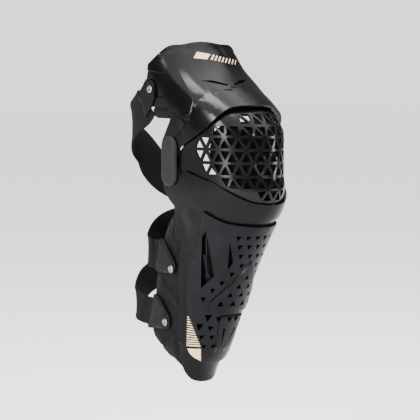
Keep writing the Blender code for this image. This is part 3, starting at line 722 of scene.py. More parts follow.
class GuardColours(bpy.types.PropertyGroup):
    """Colours of the finishes."""
    shell: bpy.props.FloatVectorProperty(
        name="Shell", description="Glossy black of the cuff and the knee cup", subtype="COLOR", size=3,
        default=(0.002, 0.002, 0.0025))
    frame: bpy.props.FloatVectorProperty(
        name="Frame", description="Satin dark grey of the collar and the rails", subtype="COLOR", size=3,
        default=(0.0022, 0.0022, 0.0027))
    plate: bpy.props.FloatVectorProperty(
        name="Plate", description="Bluish dark grey of the shin plate", subtype="COLOR", size=3,
        default=(0.0028, 0.0029, 0.0042))
    hinge: bpy.props.FloatVectorProperty(
        name="Hinge", description="Matte grey of the hinge covers", subtype="COLOR", size=3,
        default=(0.013, 0.013, 0.0145))
    textile: bpy.props.FloatVectorProperty(
        name="Textile", description="Dark grey knit of the padding", subtype="COLOR", size=3,
        default=(0.0045, 0.0045, 0.0053))
    webbing: bpy.props.FloatVectorProperty(
        name="Webbing", description="Black elastic of the straps", subtype="COLOR", size=3,
        default=(0.0035, 0.0035, 0.004))
    rubber: bpy.props.FloatVectorProperty(
        name="Rubber", description="Dark grey rubber of the hook tabs", subtype="COLOR", size=3,
        default=(0.005, 0.005, 0.0056))
    film: bpy.props.FloatVectorProperty(
        name="Film", description="Pale gold of the printed stripes", subtype="COLOR", size=3,
        default=(0.78, 0.60, 0.36))


def new_finish(name, colour, roughness, metallic=0.0):
    """A material with its tree, its shader and its coordinates, ready for more nodes."""
    material = bpy.data.materials.new(name)
    material.use_nodes = True
    tree = material.node_tree
    shader = tree.nodes["Principled BSDF"]
    shader.inputs["Metallic"].default_value = metallic
    shader.inputs["Roughness"].default_value = roughness
    shader.inputs["Base Color"].default_value = (*colour, 1)
    where = tree.nodes.new("ShaderNodeTexCoord")
    return material, tree, shader, where


def add_noise(tree, where, scale, detail=3.0):
    noise = tree.nodes.new("ShaderNodeTexNoise")
    noise.inputs["Scale"].default_value = scale
    noise.inputs["Detail"].default_value = detail
    tree.links.new(where.outputs["Object"], noise.inputs["Vector"])
    return noise.outputs["Fac"]


def add_range(tree, value, low, high, span=(0.3, 0.7)):
    """A value brought from its span into low to high."""
    node = tree.nodes.new("ShaderNodeMapRange")
    node.inputs["From Min"].default_value = span[0]
    node.inputs["From Max"].default_value = span[1]
    node.inputs["To Min"].default_value = low
    node.inputs["To Max"].default_value = high
    tree.links.new(value, node.inputs["Value"])
    return node.outputs["Result"]


def add_shades(tree, value, colour, dark, light):
    """Colour between a darker and a lighter shade of one colour."""
    node = tree.nodes.new("ShaderNodeMix")
    node.data_type = "RGBA"
    node.inputs["A"].default_value = (*[part * dark for part in colour], 1)
    node.inputs["B"].default_value = (*[min(part * light, 1) for part in colour], 1)
    tree.links.new(value, node.inputs["Factor"])
    return node.outputs["Result"]


def add_bump(tree, height, distance, strength, under=None):
    node = tree.nodes.new("ShaderNodeBump")
    node.inputs["Distance"].default_value = distance
    node.inputs["Strength"].default_value = strength
    tree.links.new(height, node.inputs["Height"])
    if under:
        tree.links.new(under, node.inputs["Normal"])
    return node.outputs["Normal"]


def add_round_edge(tree, radius):
    node = tree.nodes.new("ShaderNodeBevel")
    node.samples = 4
    node.inputs["Radius"].default_value = radius
    return node.outputs["Normal"]


def moulded_plastic(name, colour, roughness, mottle, grain, edge=0.0007, gloss=0.5):
    """Moulded plastic: mottled colour, gloss that varies, fine grain and rounded edges."""
    material, tree, shader, where = new_finish(name, colour, roughness)
    cloud = add_range(tree, add_noise(tree, where, 38, 4), 0, 1)
    speck = add_noise(tree, where, 900, 2)
    tree.links.new(add_shades(tree, cloud, colour, 1 - mottle, 1 + mottle), shader.inputs["Base Color"])
    smear = add_noise(tree, where, 65, 5)
    tree.links.new(add_range(tree, smear, roughness * 0.82, roughness * 1.22), shader.inputs["Roughness"])
    shader.inputs["Specular IOR Level"].default_value = gloss
    tree.links.new(add_bump(tree, speck, 0.0002, grain, add_round_edge(tree, edge)), shader.inputs["Normal"])
    return material


def knit_textile(name, colour):
    """Knitted cover: small loops, soft sheen and uneven colour."""
    material, tree, shader, where = new_finish(name, colour, 0.92)
    shader.inputs["Specular IOR Level"].default_value = 0.05
    cells = tree.nodes.new("ShaderNodeTexVoronoi")
    cells.inputs["Scale"].default_value = 620
    tree.links.new(where.outputs["Object"], cells.inputs["Vector"])
    loops = add_range(tree, cells.outputs["Distance"], 1, 0, (0.0, 0.7))
    cloud = add_range(tree, add_noise(tree, where, 30, 4), 0, 1)
    shade = tree.nodes.new("ShaderNodeMath")
    shade.operation = "MULTIPLY_ADD"
    shade.inputs[1].default_value = 0.45
    tree.links.new(loops, shade.inputs[0])
    tree.links.new(add_range(tree, cloud, 0.1, 0.5, (0, 1)), shade.inputs[2])
    tree.links.new(add_shades(tree, shade.outputs["Value"], colour, 0.55, 1.5), shader.inputs["Base Color"])
    shader.inputs["Sheen Weight"].default_value = 0.06
    shader.inputs["Sheen Roughness"].default_value = 0.5
    tree.links.new(add_bump(tree, loops, 0.0006, 0.55), shader.inputs["Normal"])
    return material


def ribbed_webbing(name, colour):
    """Elastic webbing: fine ribs along the strap and cross threads, from its own width and length."""
    material, tree, shader, where = new_finish(name, colour, 0.9)
    shader.inputs["Specular IOR Level"].default_value = 0.15
    ribs = tree.nodes.new("ShaderNodeTexWave")
    ribs.bands_direction = "X"
    ribs.inputs["Scale"].default_value = 200
    ribs.inputs["Distortion"].default_value = 0.6
    tree.links.new(where.outputs["UV"], ribs.inputs["Vector"])
    threads = tree.nodes.new("ShaderNodeTexWave")
    threads.bands_direction = "Y"
    threads.inputs["Scale"].default_value = 420
    threads.inputs["Distortion"].default_value = 1.0
    tree.links.new(where.outputs["UV"], threads.inputs["Vector"])
    both = tree.nodes.new("ShaderNodeMath")
    both.operation = "MULTIPLY_ADD"
    both.inputs[1].default_value = 0.6
    tree.links.new(ribs.outputs["Fac"], both.inputs[0])
    tree.links.new(add_range(tree, threads.outputs["Fac"], 0.0, 0.4, (0, 1)), both.inputs[2])
    tree.links.new(add_shades(tree, both.outputs["Value"], colour, 0.6, 1.9), shader.inputs["Base Color"])
    tree.links.new(add_bump(tree, both.outputs["Value"], 0.0006, 0.7), shader.inputs["Normal"])
    return material


def printed_film(name, colour):
    """Thin printed film with slight rubbing."""
    material, tree, shader, where = new_finish(name, colour, 0.4)
    rubbed = add_range(tree, add_noise(tree, where, 220, 4), 0, 1, (0.25, 0.6))
    tree.links.new(add_shades(tree, rubbed, colour, 0.72, 1.0), shader.inputs["Base Color"])
    tree.links.new(add_bump(tree, rubbed, 0.0001, 0.3), shader.inputs["Normal"])
    return material


def dark_steel(name):
    material, tree, shader, where = new_finish(name, (0.22, 0.22, 0.23), 0.34, 1.0)
    scuff = add_noise(tree, where, 700, 3)
    tree.links.new(add_range(tree, scuff, 0.26, 0.48), shader.inputs["Roughness"])
    tree.links.new(add_shades(tree, scuff, (0.22, 0.22, 0.23), 0.8, 1.2), shader.inputs["Base Color"])
    scuffed = add_bump(tree, scuff, 0.0002, 0.25, add_round_edge(tree, 0.0005))
    tree.links.new(scuffed, shader.inputs["Normal"])
    return material


def finish(name):
    """The finish of a name, made once."""
    if name in bpy.data.materials:
        return bpy.data.materials[name]
    colours = bpy.context.scene.guard_colours
    makers = {
        "black_gloss_shell": lambda: moulded_plastic(
            name, tuple(colours.shell), 0.20, 0.12, 0.03, 0.0007, 0.17),
        "satin_frame": lambda: moulded_plastic(name, tuple(colours.frame), 0.25, 0.14, 0.03, 0.0007, 0.10),
        "mottled_plate": lambda: moulded_plastic(name, tuple(colours.plate), 0.33, 0.45, 0.08, 0.0007, 0.10),
        "matte_hinge": lambda: moulded_plastic(name, tuple(colours.hinge), 0.55, 0.08, 0.15, 0.0007, 0.12),
        # Near-black finish of the rings behind the hinge covers: painted shadow of the gap round each cover
        "painted_shadow_gap": lambda: moulded_plastic(name, (0.006, 0.006, 0.006), 0.8, 0.1, 0.1),
        "moulded_rubber": lambda: moulded_plastic(
            name, tuple(colours.rubber), 0.42, 0.15, 0.12, 0.0009, 0.08),
        "grey_knit": lambda: knit_textile(name, tuple(colours.textile)),
        "black_elastic": lambda: ribbed_webbing(name, tuple(colours.webbing)),
        "gold_film": lambda: printed_film(name, tuple(colours.film)),
        "dark_steel": lambda: dark_steel(name),
    }
    return makers[name]()


def strap_row(row, level):
    """Middle point of a strap and the direction its outer face looks."""
    across, back, v, on_wall = row
    y = back * KNEE_DEPTH
    if on_wall:
        u, v = at_side(y, v * unit_height(v))
        u = math.copysign(u, across)
        return off_form(u, v, level), off_form(u, v, level + STRAP_WALL) - off_form(u, v, level)
    return Vector((across * HINGE_HALF_WIDTH, y, v * unit_height(v))), None


def smooth_points(rows, count):
    """Evenly read points of a smooth curve through rows of vectors."""
    rows = [rows[0] * 2 - rows[1]] + rows + [rows[-1] * 2 - rows[-2]]
    points = []
    spans = len(rows) - 3
    for k in range(count + 1):
        place = min(k / count * spans, spans - 1e-6)
        i = int(place)
        t = place - i
        a, b, c, d = rows[i:i + 4]
        points.append(0.5 * ((2 * b) + (c - a) * t + (2 * a - 5 * b + 4 * c - d) * t ** 2
                             + (3 * b - a - 3 * c + d) * t ** 3))
    return points


def strap_frames(path, levels, count):
    """Points along a strap, each with its outward direction and its width direction."""
    seats = [strap_row(row, levels[0] if i < len(path) / 2 else levels[1]) for i, row in enumerate(path)]
    middles = [seat for seat, _ in seats]
    faces = []
    for i, (seat, face) in enumerate(seats):
        along = (middles[min(i + 1, len(middles) - 1)] - middles[max(i - 1, 0)]).normalized()
        if face is None:
            face = Vector((along.y, -along.x, 0))
            if face.dot(Vector((seat.x, seat.y - STRAP_CENTRE * KNEE_DEPTH, 0))) < 0:
                face = -face
        faces.append(face.normalized())
    points = smooth_points(middles, count)
    frames = []
    for i, (point, face) in enumerate(zip(points, smooth_points(faces, count))):
        along = (points[min(i + 1, count)] - points[max(i - 1, 0)]).normalized()
        outward = (face - along * face.dot(along)).normalized()
        frames.append((point, outward, along.cross(outward)))
    return frames


def sewn_strap(name, path, levels, width, node, count=120):
    """Elastic strap with rolled edges and lengthwise edge ridges, with its own width and length as UV."""
    edge = STRAP_WALL * 0.45
    # across as a share of the half width, and out as a share of the wall
    profile = ((-1.00, 0.15), (-0.97, 0.0), (-0.5, 0.0), (0.0, 0.0), (0.5, 0.0), (0.97, 0.0), (1.00, 0.15),
               (1.00, 0.85), (0.97, 1.0), (0.90, 1.0),
               (0.86, 0.80), (0.45, 0.84), (0.0, 0.86), (-0.45, 0.84),
               (-0.86, 0.80), (-0.90, 1.0), (-0.97, 1.0), (-1.00, 0.85))
    bm = bmesh.new()
    uv = bm.loops.layers.uv.new("strap")
    rings = []
    run = 0.0
    frames = strap_frames(path, levels, count)
    places = {}
    for i, (point, outward, across) in enumerate(frames):
        run += (point - frames[max(i - 1, 0)][0]).length
        ring = []
        for share, out in profile:
            flare = edge * 0.15 * math.sin(run * 900) if abs(share) > 0.95 else 0.0
            spot = point + outward * (STRAP_WALL * out) + across * (width / 2 * share + flare * share)
            vert = bm.verts.new(spot)
            places[vert] = (share * width / 2, run)
            ring.append(vert)
        rings.append(ring)
    sides = len(profile)
    for near, far in zip(rings, rings[1:]):
        for i in range(sides):
            bm.faces.new((near[i], near[(i + 1) % sides], far[(i + 1) % sides], far[i]))
    bm.faces.new(rings[0])
    bm.faces.new(rings[-1])
    for face in bm.faces:
        for loop in face.loops:
            loop[uv].uv = places[loop.vert]
    piece = add_piece(name, bm, finish("black_elastic"), 50)
    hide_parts(node)
    return piece


def turned_piece(name, seat, axis, rings, material, sides=40):
    """Piece turned round an axis, from rings of (distance out from its seat, radius)."""
    bm = bmesh.new()
    upward = axis.cross(Vector((0, 1, 0))).normalized()
    front = upward.cross(axis).normalized()
    loops = []
    for out, radius in rings:
        loop = []
        for i in range(sides):
            angle = math.tau * i / sides
            spot = seat + axis * out + (front * math.cos(angle) + upward * math.sin(angle)) * radius
            loop.append(bm.verts.new(spot))
        loops.append(loop)
    for near, far in zip(loops, loops[1:]):
        for i in range(sides):
            bm.faces.new((near[i], near[(i + 1) % sides], far[(i + 1) % sides], far[i]))
    bm.faces.new(loops[0])
    bm.faces.new(loops[-1])
    return add_piece(name, bm, material)


def cuff_edge(inset):
    """Rear and top edges of the cuff, pulled in by an inset."""
    return [at_side(0.036 - inset, 0.071 + inset), at_side(0.041 - inset, 0.090),
            at_side(0.045 - inset, 0.110),
            at_side(0.042 - inset, 0.119)] + shifted(smooth_line(CUFF_TOP, 4), 0, -inset / THIGH_HEIGHT)


def arm_outline(sign):
    """Rounded end of a hinge arm, from its front edge round to its rear edge."""
    return arc_points(HINGE_Y, sign * PIVOT_SPACING / 2, ARM_RADIUS, 180, 180 + sign * 180, 20)


def pivot_hole(sign):
    return arc_points(HINGE_Y, sign * PIVOT_SPACING / 2, PIVOT_RADIUS + GAP, 0, 345, 23)


def post_hole(post):
    return mirrored_hole(arc_points(*post, POST_RADIUS + POST_SLACK, 0, 345, 23))


def cuff_level(u, v):
    """Outer face of the thigh cuff: lip band, side pocket and creases."""
    rise = bpy.context.scene.guard_sizes.crease_rise
    over_band = (line_height(BAND_LINE, u) - v) * THIGH_HEIGHT
    level = LIP_RISE * ramp(over_band + STEP_WIDTH / 2, STEP_WIDTH) * ramp(0.93 - abs(u), 0.35)
    crease = mirrored_hole(CUFF_CREASE) if u > 0 else CUFF_CREASE
    above_lip = 1 - ramp(over_band + 0.004, 0.006)
    level += rise * tent(line_distance((u, v), crease), CREASE_REACH) * above_lip
    level -= RIM_GROOVE_DEPTH * ramp(RIM_GROOVE_REACH - line_distance((u, v), CUFF_RIM_CREASE), 0.003)
    pocket = [at_side(y, z) for y, z in SIDE_POCKET]
    place = (abs(u), v)
    if u < 0 and is_inside(place, pocket):
        level -= POCKET_DEPTH * ramp(edge_distance(place, pocket) + STEP_WIDTH / 2, STEP_WIDTH)
    return level


def make_thigh_cuff():
    half = smooth_line(RIM_LINE, 4) + arm_outline(1) + [
        at_side(0.0125, 0.026), at_side(0.004, 0.040), at_side(-0.003, 0.052), at_side(-0.007, 0.064),
        at_side(-0.004, 0.071)] + cuff_edge(0)
    holes = [pivot_hole(1), mirrored_hole(pivot_hole(1)), rounded(list(CUFF_SLIT), 0.002),
             mirrored_hole(rounded(list(CUFF_SLIT), 0.002)), post_hole(THIGH_POST)]
    pocket = [at_side(y, z) for y, z in SIDE_POCKET]
    band = smooth_line(BAND_LINE, 2)
    steps = (band, mirrored_hole(band), mirrored_hole(pocket + pocket[:1]), CUFF_CREASE,
             mirrored_hole(CUFF_CREASE))
    cuff = laid_sheet("thigh_cuff", both_sides(half), holes, cuff_level, SHELL_WALL,
                      finish("black_gloss_shell"), steps)
    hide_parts("thigh_shell")


def make_thigh_padding():
    half = [(0.00, 0.600), (0.36, 0.585), (0.58, 0.520), (0.74, 0.430), (0.86, 0.360),
            at_side(0.000, 0.056), at_side(0.026, 0.056), at_side(0.033, 0.059), at_side(0.036, 0.066)]
    half += cuff_edge(0.003)[1:]
    swell = bpy.context.scene.guard_sizes.pad_swell
    outline = both_sides(half)

    def level(u, v):
        edge = edge_distance((u, v), outline)
        drop = -SHELL_WALL - POCKET_DEPTH - GAP
        band = ramp(0.071 - v * THIGH_HEIGHT, 0.006) * ramp(abs(u) - 0.8, 0.1)
        groove = 0.0008 * ramp(0.0012 - abs(v * THIGH_HEIGHT - 0.063), 0.0012)
        return drop - PAD_EDGE_DROP * (1 - ramp(edge, PAD_EDGE_REACH)) + (swell - groove) * band

    pad = laid_sheet("thigh_padding", outline, [post_hole(THIGH_POST)], level,
                     PAD_WALL * DRESSED_PAD_SHARE, finish("grey_knit"))
    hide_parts("thigh_pad")


def cup_level(u, v):
    """Outer face of the knee cup, with a raised four-cornered boss at its front."""
    level = -SHELL_WALL - GAP - CUP_PLAY * ramp(0.90 - abs(u), 0.10)
    boss = list(CUP_BOSS)
    away = edge_distance((u, v), boss)
    if not is_inside((u, v), boss):
        away = -away
    return level + BOSS_RISE * ramp(away + BOSS_SLOPE / 2, BOSS_SLOPE)


def cup_edge():
    """Outline of the knee cup: hidden under the rim and the collar, with an ear at each side."""
    top = shifted(smooth_line(RIM_LINE, 3), 0, 0.036)
    foot = shifted(smooth_line(COLLAR_LINE, 3), 0, -0.026)
    ear = [at_side(-0.024, 0.022), at_side(-0.015, 0.0085), at_side(0.003, 0.0085),
           at_side(0.003, -0.0085), at_side(-0.015, -0.0085), at_side(-0.024, -0.016)]
    return top + ear + list(reversed(foot))


def lattice_holes(region):
    """Alternating triangles of the lattice whose corners all stay inside the region."""
    row = LATTICE_PITCH * math.sqrt(3) / 2
    inset = STRUT_WIDTH / 2
    side = LATTICE_PITCH - 2 * math.sqrt(3) * inset
    columns = int(half_arc(0) * 1.1 / (LATTICE_PITCH / 2))
    rows = int(KNEE_DEPTH / row)
    holes = []
    for j in range(-rows, rows):
        for i in range(-columns, columns + 1):
            up = (i + j) % 2 == 0
            third = row / 3 if up else 2 * row / 3
            x = i * LATTICE_PITCH / 2
            z = j * row + third
            sign = 1 if up else -1
            corners = [(x, z + sign * side / math.sqrt(3)),
                       (x - side / 2, z - sign * side / (2 * math.sqrt(3))),
                       (x + side / 2, z - sign * side / (2 * math.sqrt(3)))]
            hole = [(cx / half_arc(height_share(cz)), height_share(cz)) for cx, cz in corners]
            if all(is_inside(p, region) and edge_distance(p, region) > LATTICE_MARGIN for p in hole):
                holes.append(hole)
    return holes


def make_knee_lattice():
    top = shifted(RIM_LINE[:-1], 0, 0.012)
    foot = shifted(COLLAR_LINE[:-1], 0, -0.004)
    region = both_sides(top + [(0.74, 0.16), (0.76, 0.03), (0.74, -0.045)] + list(reversed(foot)))
    holes = lattice_holes(region)
    cup = laid_sheet("knee_lattice", both_sides(cup_edge()), holes, cup_level, SHELL_WALL,
                     finish("black_gloss_shell"), (), None, bpy.context.scene.guard_sizes.strut_draft)
    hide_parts("knee_cup")


def make_knee_padding():
    half = [(0.00, 0.395), (0.25, 0.375), (0.44, 0.320), (0.57, 0.235), (0.60, 0.100), (0.57, -0.030),
            (0.44, -0.085), (0.25, -0.120), (0.00, -0.150)]
    outline = both_sides(half)

    def level(u, v):
        drop = cup_level(u, v) - SHELL_WALL - GAP - LINING_DROP
        return drop - 0.0016 * (1 - ramp(edge_distance((u, v), outline), 0.005))

    pad = laid_sheet("knee_padding", outline, [], level, PAD_WALL * DRESSED_PAD_SHARE, finish("grey_knit"))
    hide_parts("knee_pad")


def frame_level(u, v):
    """Outer face of the collar, the rails and the tip."""
    drop = SHELL_WALL + GAP + PLATE_PLAY
    foot = line_height(COLLAR_FOOT, min(abs(u), 0.65))
    front_part = ramp((foot - v) * SHIN_LENGTH + STEP_WIDTH / 2, STEP_WIDTH) * ramp(0.80 - abs(u), 0.14)
    side_part = ramp(-0.20 - v, 0.14)
    edge = np.interp(-v, [-p[1] for p in RAIL_EDGE], [p[0] for p in RAIL_EDGE])
    ridge = ramp((edge - abs(u)) * half_arc(v) - 0.002, 0.007) if v > -0.86 else 1.0
    return -drop * max(front_part, side_part * ridge)


def make_shin_collar():
    arm = list(reversed(arm_outline(-1)))
    rear = [at_side(0.011, -0.035), at_side(0.009, -0.041), at_side(0.006, -0.047), at_side(0.002, -0.053),
            at_side(-0.004, -0.060)]
    half = list(reversed(smooth_line(RAIL_EDGE, 4))) + list(reversed(rear)) + arm \
        + list(reversed(smooth_line(COLLAR_LINE, 4)))
    window = both_sides(list(FRAME_WINDOW))
    foot = smooth_line(COLLAR_FOOT, 2)
    rail = [(u - 0.07, v) for u, v in RAIL_EDGE[1:5]]
    collar = laid_sheet("shin_collar_and_rails", both_sides(half),
                        [pivot_hole(-1), mirrored_hole(pivot_hole(-1)), window], frame_level, SHELL_WALL,
                        finish("satin_frame"), (foot, mirrored_hole(foot), rail, mirrored_hole(rail)))
    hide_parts("shin_frame")


def shin_holes():
    holes = []
    for hole in (SIDE_WINDOW, FRONT_SLIT, LOW_SLIT):
        soft = rounded(list(hole), 0.0015)
        holes += [soft, mirrored_hole(soft)]
    for v, up, size, places in SHIN_ROWS:
        corners = triangle_corners(SHIN_HOLE * size, up)
        for place in places:
            u = place * SHIN_PITCH / half_arc(v)
            holes.append(near_hole(u, v, corners))
            if place:
                holes.append(near_hole(-u, v, corners))
    return holes


def make_shin_shield():
    half = smooth_line(PLATE_TOP, 3) + smooth_line(PLATE_SIDE, 3)
    outline = both_sides(half)
    panels = (both_sides(list(UPPER_PANEL)), both_sides(list(LOWER_PANEL)))
    windows = [rounded(list(SIDE_WINDOW), 0.0015), mirrored_hole(rounded(list(SIDE_WINDOW), 0.0015))]

    def level(u, v):
        rise = 0.0
        for panel in panels:
            away = edge_distance((u, v), panel)
            if not is_inside((u, v), panel):
                away = -away
            rise = max(rise, PANEL_RISE * ramp(away + STEP_WIDTH / 2, STEP_WIDTH))
        for window in windows:
            rise = max(rise, WINDOW_RIM_RISE * ramp(0.0026 - edge_distance((u, v), window), 0.0012))
        return rise - 0.0007 * (1 - ramp(edge_distance((u, v), outline), 0.0022))

    steps = [panel + panel[:1] for panel in panels]
    shield = laid_sheet("shin_shield", outline, shin_holes(), level, SHELL_WALL,
                        finish("mottled_plate"), steps, None, 0.0004)
    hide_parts("shin_plate")
    rib_lines = (((0.555, -0.340), (0.50, -0.45), (0.455, -0.535)),
                 ((0.545, -0.42), (0.47, -0.50), (0.42, -0.53)))
    for side in (1, -1):
        for number, line in enumerate(rib_lines):
            bar = band_outline([(side * u, v) for u, v in line], RIB_WIDTH)
            rib = laid_sheet("window_rib_%d_%s" % (number + 1, "left" if side < 0 else "right"), bar, [],
                             lambda u, v: RIB_LEVEL, RIB_WALL, finish("satin_frame"))


def make_shin_padding():
    half = [(0.00, -1.034), (0.45, -1.014), (0.77, -0.972), at_side(0.047, -0.274), at_side(0.056, -0.268),
            at_side(0.063, -0.261), at_side(0.070, -0.255), at_side(0.076, -0.249), at_side(0.080, -0.238),
            at_side(0.076, -0.220), at_side(0.070, -0.200), at_side(0.064, -0.176), at_side(0.056, -0.150),
            at_side(0.047, -0.127), at_side(0.037, -0.105), at_side(0.026, -0.090), at_side(0.014, -0.078),
            at_side(-0.006, -0.066), (0.66, -0.235), (0.33, -0.285), (0.00, -0.300)]
    outline = both_sides(half)
    seams = [[at_side(y, z) for y, z in seam] for seam in PAD_SEAMS]
    swell = bpy.context.scene.guard_sizes.pad_swell

    def level(u, v):
        edge = edge_distance((u, v), outline)
        place = (abs(u), v)
        nearest = min(line_distance(place, seam) for seam in seams) if abs(u) > 0.8 else 1.0
        crown = swell * 0.5 * ramp(abs(u) - 0.86, 0.1) * ramp(edge - 0.003, 0.01)
        for post in (CALF_POST_UPPER, CALF_POST_LOWER):
            across = (u + at_side(*post)[0]) * KNEE_DEPTH
            along = (v - height_share(post[1])) * SHIN_LENGTH
            if math.hypot(across, along) < STRAP_SEAT:
                crown = 0.0
        groove = 0.0016 * ramp(0.0016 - nearest, 0.0016)
        hem = 0.0012 * ramp(0.0010 - abs(edge - 0.0050), 0.0010)
        return SHIN_PAD_LEVEL + crown - groove - hem - PAD_EDGE_DROP * (1 - ramp(edge, PAD_EDGE_REACH))

    holes = [post_hole(CALF_POST_UPPER), post_hole(CALF_POST_LOWER)]
    pad = laid_sheet("shin_padding", outline, holes, level,
                     PAD_WALL * DRESSED_PAD_SHARE, finish("grey_knit"), (), (0.030, 0.014))
    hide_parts("shin_pad")


def capsule_ring(width, height, segments):
    """Points (y, z) round an upright capsule."""
    radius = width / 2
    reach = height / 2 - radius
    ring = []
    for top in (1, -1):
        for i in range(segments + 1):
            angle = math.pi * i / segments + (0 if top > 0 else math.pi)
            ring.append((radius * math.cos(angle), top * reach + radius * math.sin(angle)))
    return ring


def stacked_capsule(name, side, base, layers, material):
    """Capsule on the side of the hinge from layers of (distance out, how much is taken off all round)."""
    bm = bmesh.new()
    rings = []
    for out, inset in layers:
        ring = capsule_ring(COVER_WIDTH - 2 * inset, COVER_HEIGHT - 2 * inset, 24)
        rings.append([bm.verts.new((side * (base + out), HINGE_Y + y, z)) for y, z in ring])
    count = len(rings[0])
    for near, far in zip(rings, rings[1:]):
        for i in range(count):
            bm.faces.new((near[i], near[(i + 1) % count], far[(i + 1) % count], far[i]))
    bm.faces.new(rings[0])
    bm.faces.new(rings[-1])
    return add_piece(name, bm, material)


def make_hinges():
    base = HINGE_HALF_WIDTH + GAP
    for side, word in ((-1, "lateral"), (1, "medial")):
        layers = ((0.0006, 0.0010), (COVER_THICK * 0.62, 0.0006), (COVER_THICK * 0.86, 0.0016),
                  (COVER_THICK * 0.97, 0.0030), (COVER_THICK, 0.0048))
        cover = stacked_capsule("hinge_cap_" + word, side, base, layers, finish("matte_hinge"))
        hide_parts("hinge_cover_" + word)
        # A near-black ring, a little wider than the foot of the cover, stands where there is only the shadow
        # gap round the cover: painted shadow
        shadow_gap_ring = stacked_capsule("hinge_shadow_gap_" + word, side, base, ((0.0, 0.0), (0.0022, 0.0)),
                                 finish("painted_shadow_gap"))
        for sign, end in ((1, "upper"), (-1, "lower")):
            seat = Vector((side * (base + COVER_THICK), HINGE_Y, sign * PIVOT_SPACING / 2))
            ring = ((-0.0010, 0.0074), (0.00015, 0.0074), (0.0003, 0.0070), (-0.0003, 0.0066),
                    (-0.0010, 0.0066))
            disc = turned_piece("pivot_ring_%s_%s" % (end, word), seat, Vector((side, 0, 0)), ring,
                                finish("matte_hinge"))
            pin = frame["nodes"]["hinge_pin_%s_%s" % (end, word)]
            pin.data.materials.clear()
            pin.data.materials.append(finish("dark_steel"))


def make_tab(name, corners, post, level, node):
    """Rubber tab with a thin fold line round its post and a raised edge."""
    outline = mirrored_hole(rounded([at_side(y, z) for y, z in corners], 0.004, 6))[::-1]
    tip_y, tip_z = post

    def face(u, v):
        edge = edge_distance((u, v), outline)
        reach = math.hypot((abs(u) - at_side(tip_y, tip_z)[0]) * KNEE_DEPTH,
                           (v - height_share(tip_z)) * unit_height(v))
        ridge = 0.0006 * ramp(0.0012 - abs(reach - 0.0105), 0.0012)
        border = 0.0007 * ramp(0.0012 - abs(edge - 0.0022), 0.0012)
        return level + TAB_WALL - 0.0009 * (1 - ramp(edge, 0.0016)) - border + ridge

    tab = laid_sheet(name, outline, [post_hole(post)], face, TAB_WALL * 0.97, finish("moulded_rubber"), (),
                     (0.012, 0.007))
    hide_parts(node)


def make_post(name, post, low, high, node):
    """Rivet with a domed head on both ends."""
    u, v = at_side(*post)
    seat = on_form(-u, v)
    axis = (off_form(-u, v, POST_RADIUS) - seat).normalized()
    low -= GAP
    high += GAP
    head = POST_HEAD_RADIUS
    rings = ((low - POST_HEAD_THICK, head * 0.7), (low - POST_HEAD_THICK * 0.4, head), (low, head),
             (low, POST_RADIUS), (high, POST_RADIUS), (high, head), (high + POST_HEAD_THICK * 0.45, head),
             (high + POST_HEAD_THICK * 0.8, head * 0.86), (high + POST_HEAD_THICK, head * 0.60),
             (high + POST_HEAD_THICK * 0.7, head * 0.42))
    rivet = turned_piece(name, seat, axis, rings, finish("dark_steel"))
    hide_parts(node)


def make_straps():
    on_pad = SHIN_PAD_LEVEL + 2 * GAP
    over_strap = on_pad + STRAP_WALL + GAP
    tabs = (("thigh", THIGH_TAB, THIGH_POST, GAP, -SHELL_WALL - POCKET_DEPTH - GAP - PAD_WALL),
            ("calf_upper", CALF_TAB_UPPER, CALF_POST_UPPER, over_strap, on_pad - 2 * GAP - PAD_WALL),
            ("calf_lower", CALF_TAB_LOWER, CALF_POST_LOWER, over_strap, on_pad - 2 * GAP - PAD_WALL))
    for word, corners, post, level, low in tabs:
        make_tab(word + "_hook_tab", corners, post, level, word + "_strap_tab")
        make_post(word + "_rivet", post, low, level + TAB_WALL, word + "_strap_post")
    sewn_strap("thigh_elastic", THIGH_STRAP_PATH, (-STRAP_WALL, GAP), THIGH_STRAP_WIDTH, "thigh_strap")
    sewn_strap("calf_elastic_upper", CALF_STRAP_UPPER_PATH, (on_pad, on_pad + HOLLOW_SIDE), CALF_STRAP_WIDTH,
               "calf_upper_strap")
    sewn_strap("calf_elastic_lower", CALF_STRAP_LOWER_PATH, (on_pad, on_pad), CALF_STRAP_WIDTH,
               "calf_lower_strap")


def make_film(name, outline, level):
    """Printed film laid on a face of the guard."""
    wall = bpy.context.scene.guard_sizes.decal_wall
    film = laid_sheet(name, outline, [], lambda u, v: level(u, v) + wall, wall, finish("gold_film"))


def make_prints():
    """Plain block and stripes on the cuff, and plain stripes down each side of the shin plate."""
    make_film("cuff_print_block", list(CUFF_BLOCK), cuff_level)
    for i in range(CUFF_STRIPES):
        left = 0.085 + i * STRIPE_STEP
        width = 0.030 * (1 - i / (CUFF_STRIPES + 3))
        low = (left - 0.09, 0.806 - 0.006 * i)
        high = (left, 0.846 - 0.007 * i)
        make_film("cuff_print_stripe_%d" % (i + 1), [low, (low[0] + width, low[1] - 0.002),
                                                     (high[0] + width, high[1] - 0.002), high], cuff_level)

    def on_plate(u, v):
        return PRINT_LIFT

    for word, turn in (("left", list), ("right", mirrored_hole)):
        for i in range(SHIN_STRIPES):
            share = i / (SHIN_STRIPES - 1)
            v = SHIN_STRIPE_TOP - SHIN_STRIPE_DROP * share
            outer = -0.655 + 0.05 * share
            inner = outer + 0.03 + 0.20 * share
            thick = 0.0035 + 0.0018 * share
            stripe = [(outer, v), (inner, v - 0.002), (inner, v - 0.002 - thick), (outer, v - thick)]
            make_film("shin_print_stripe_%d_%s" % (i + 1, word), turn(stripe), on_plate)
        make_film("shin_print_block_" + word, turn(list(SHIN_BLOCK)), on_plate)


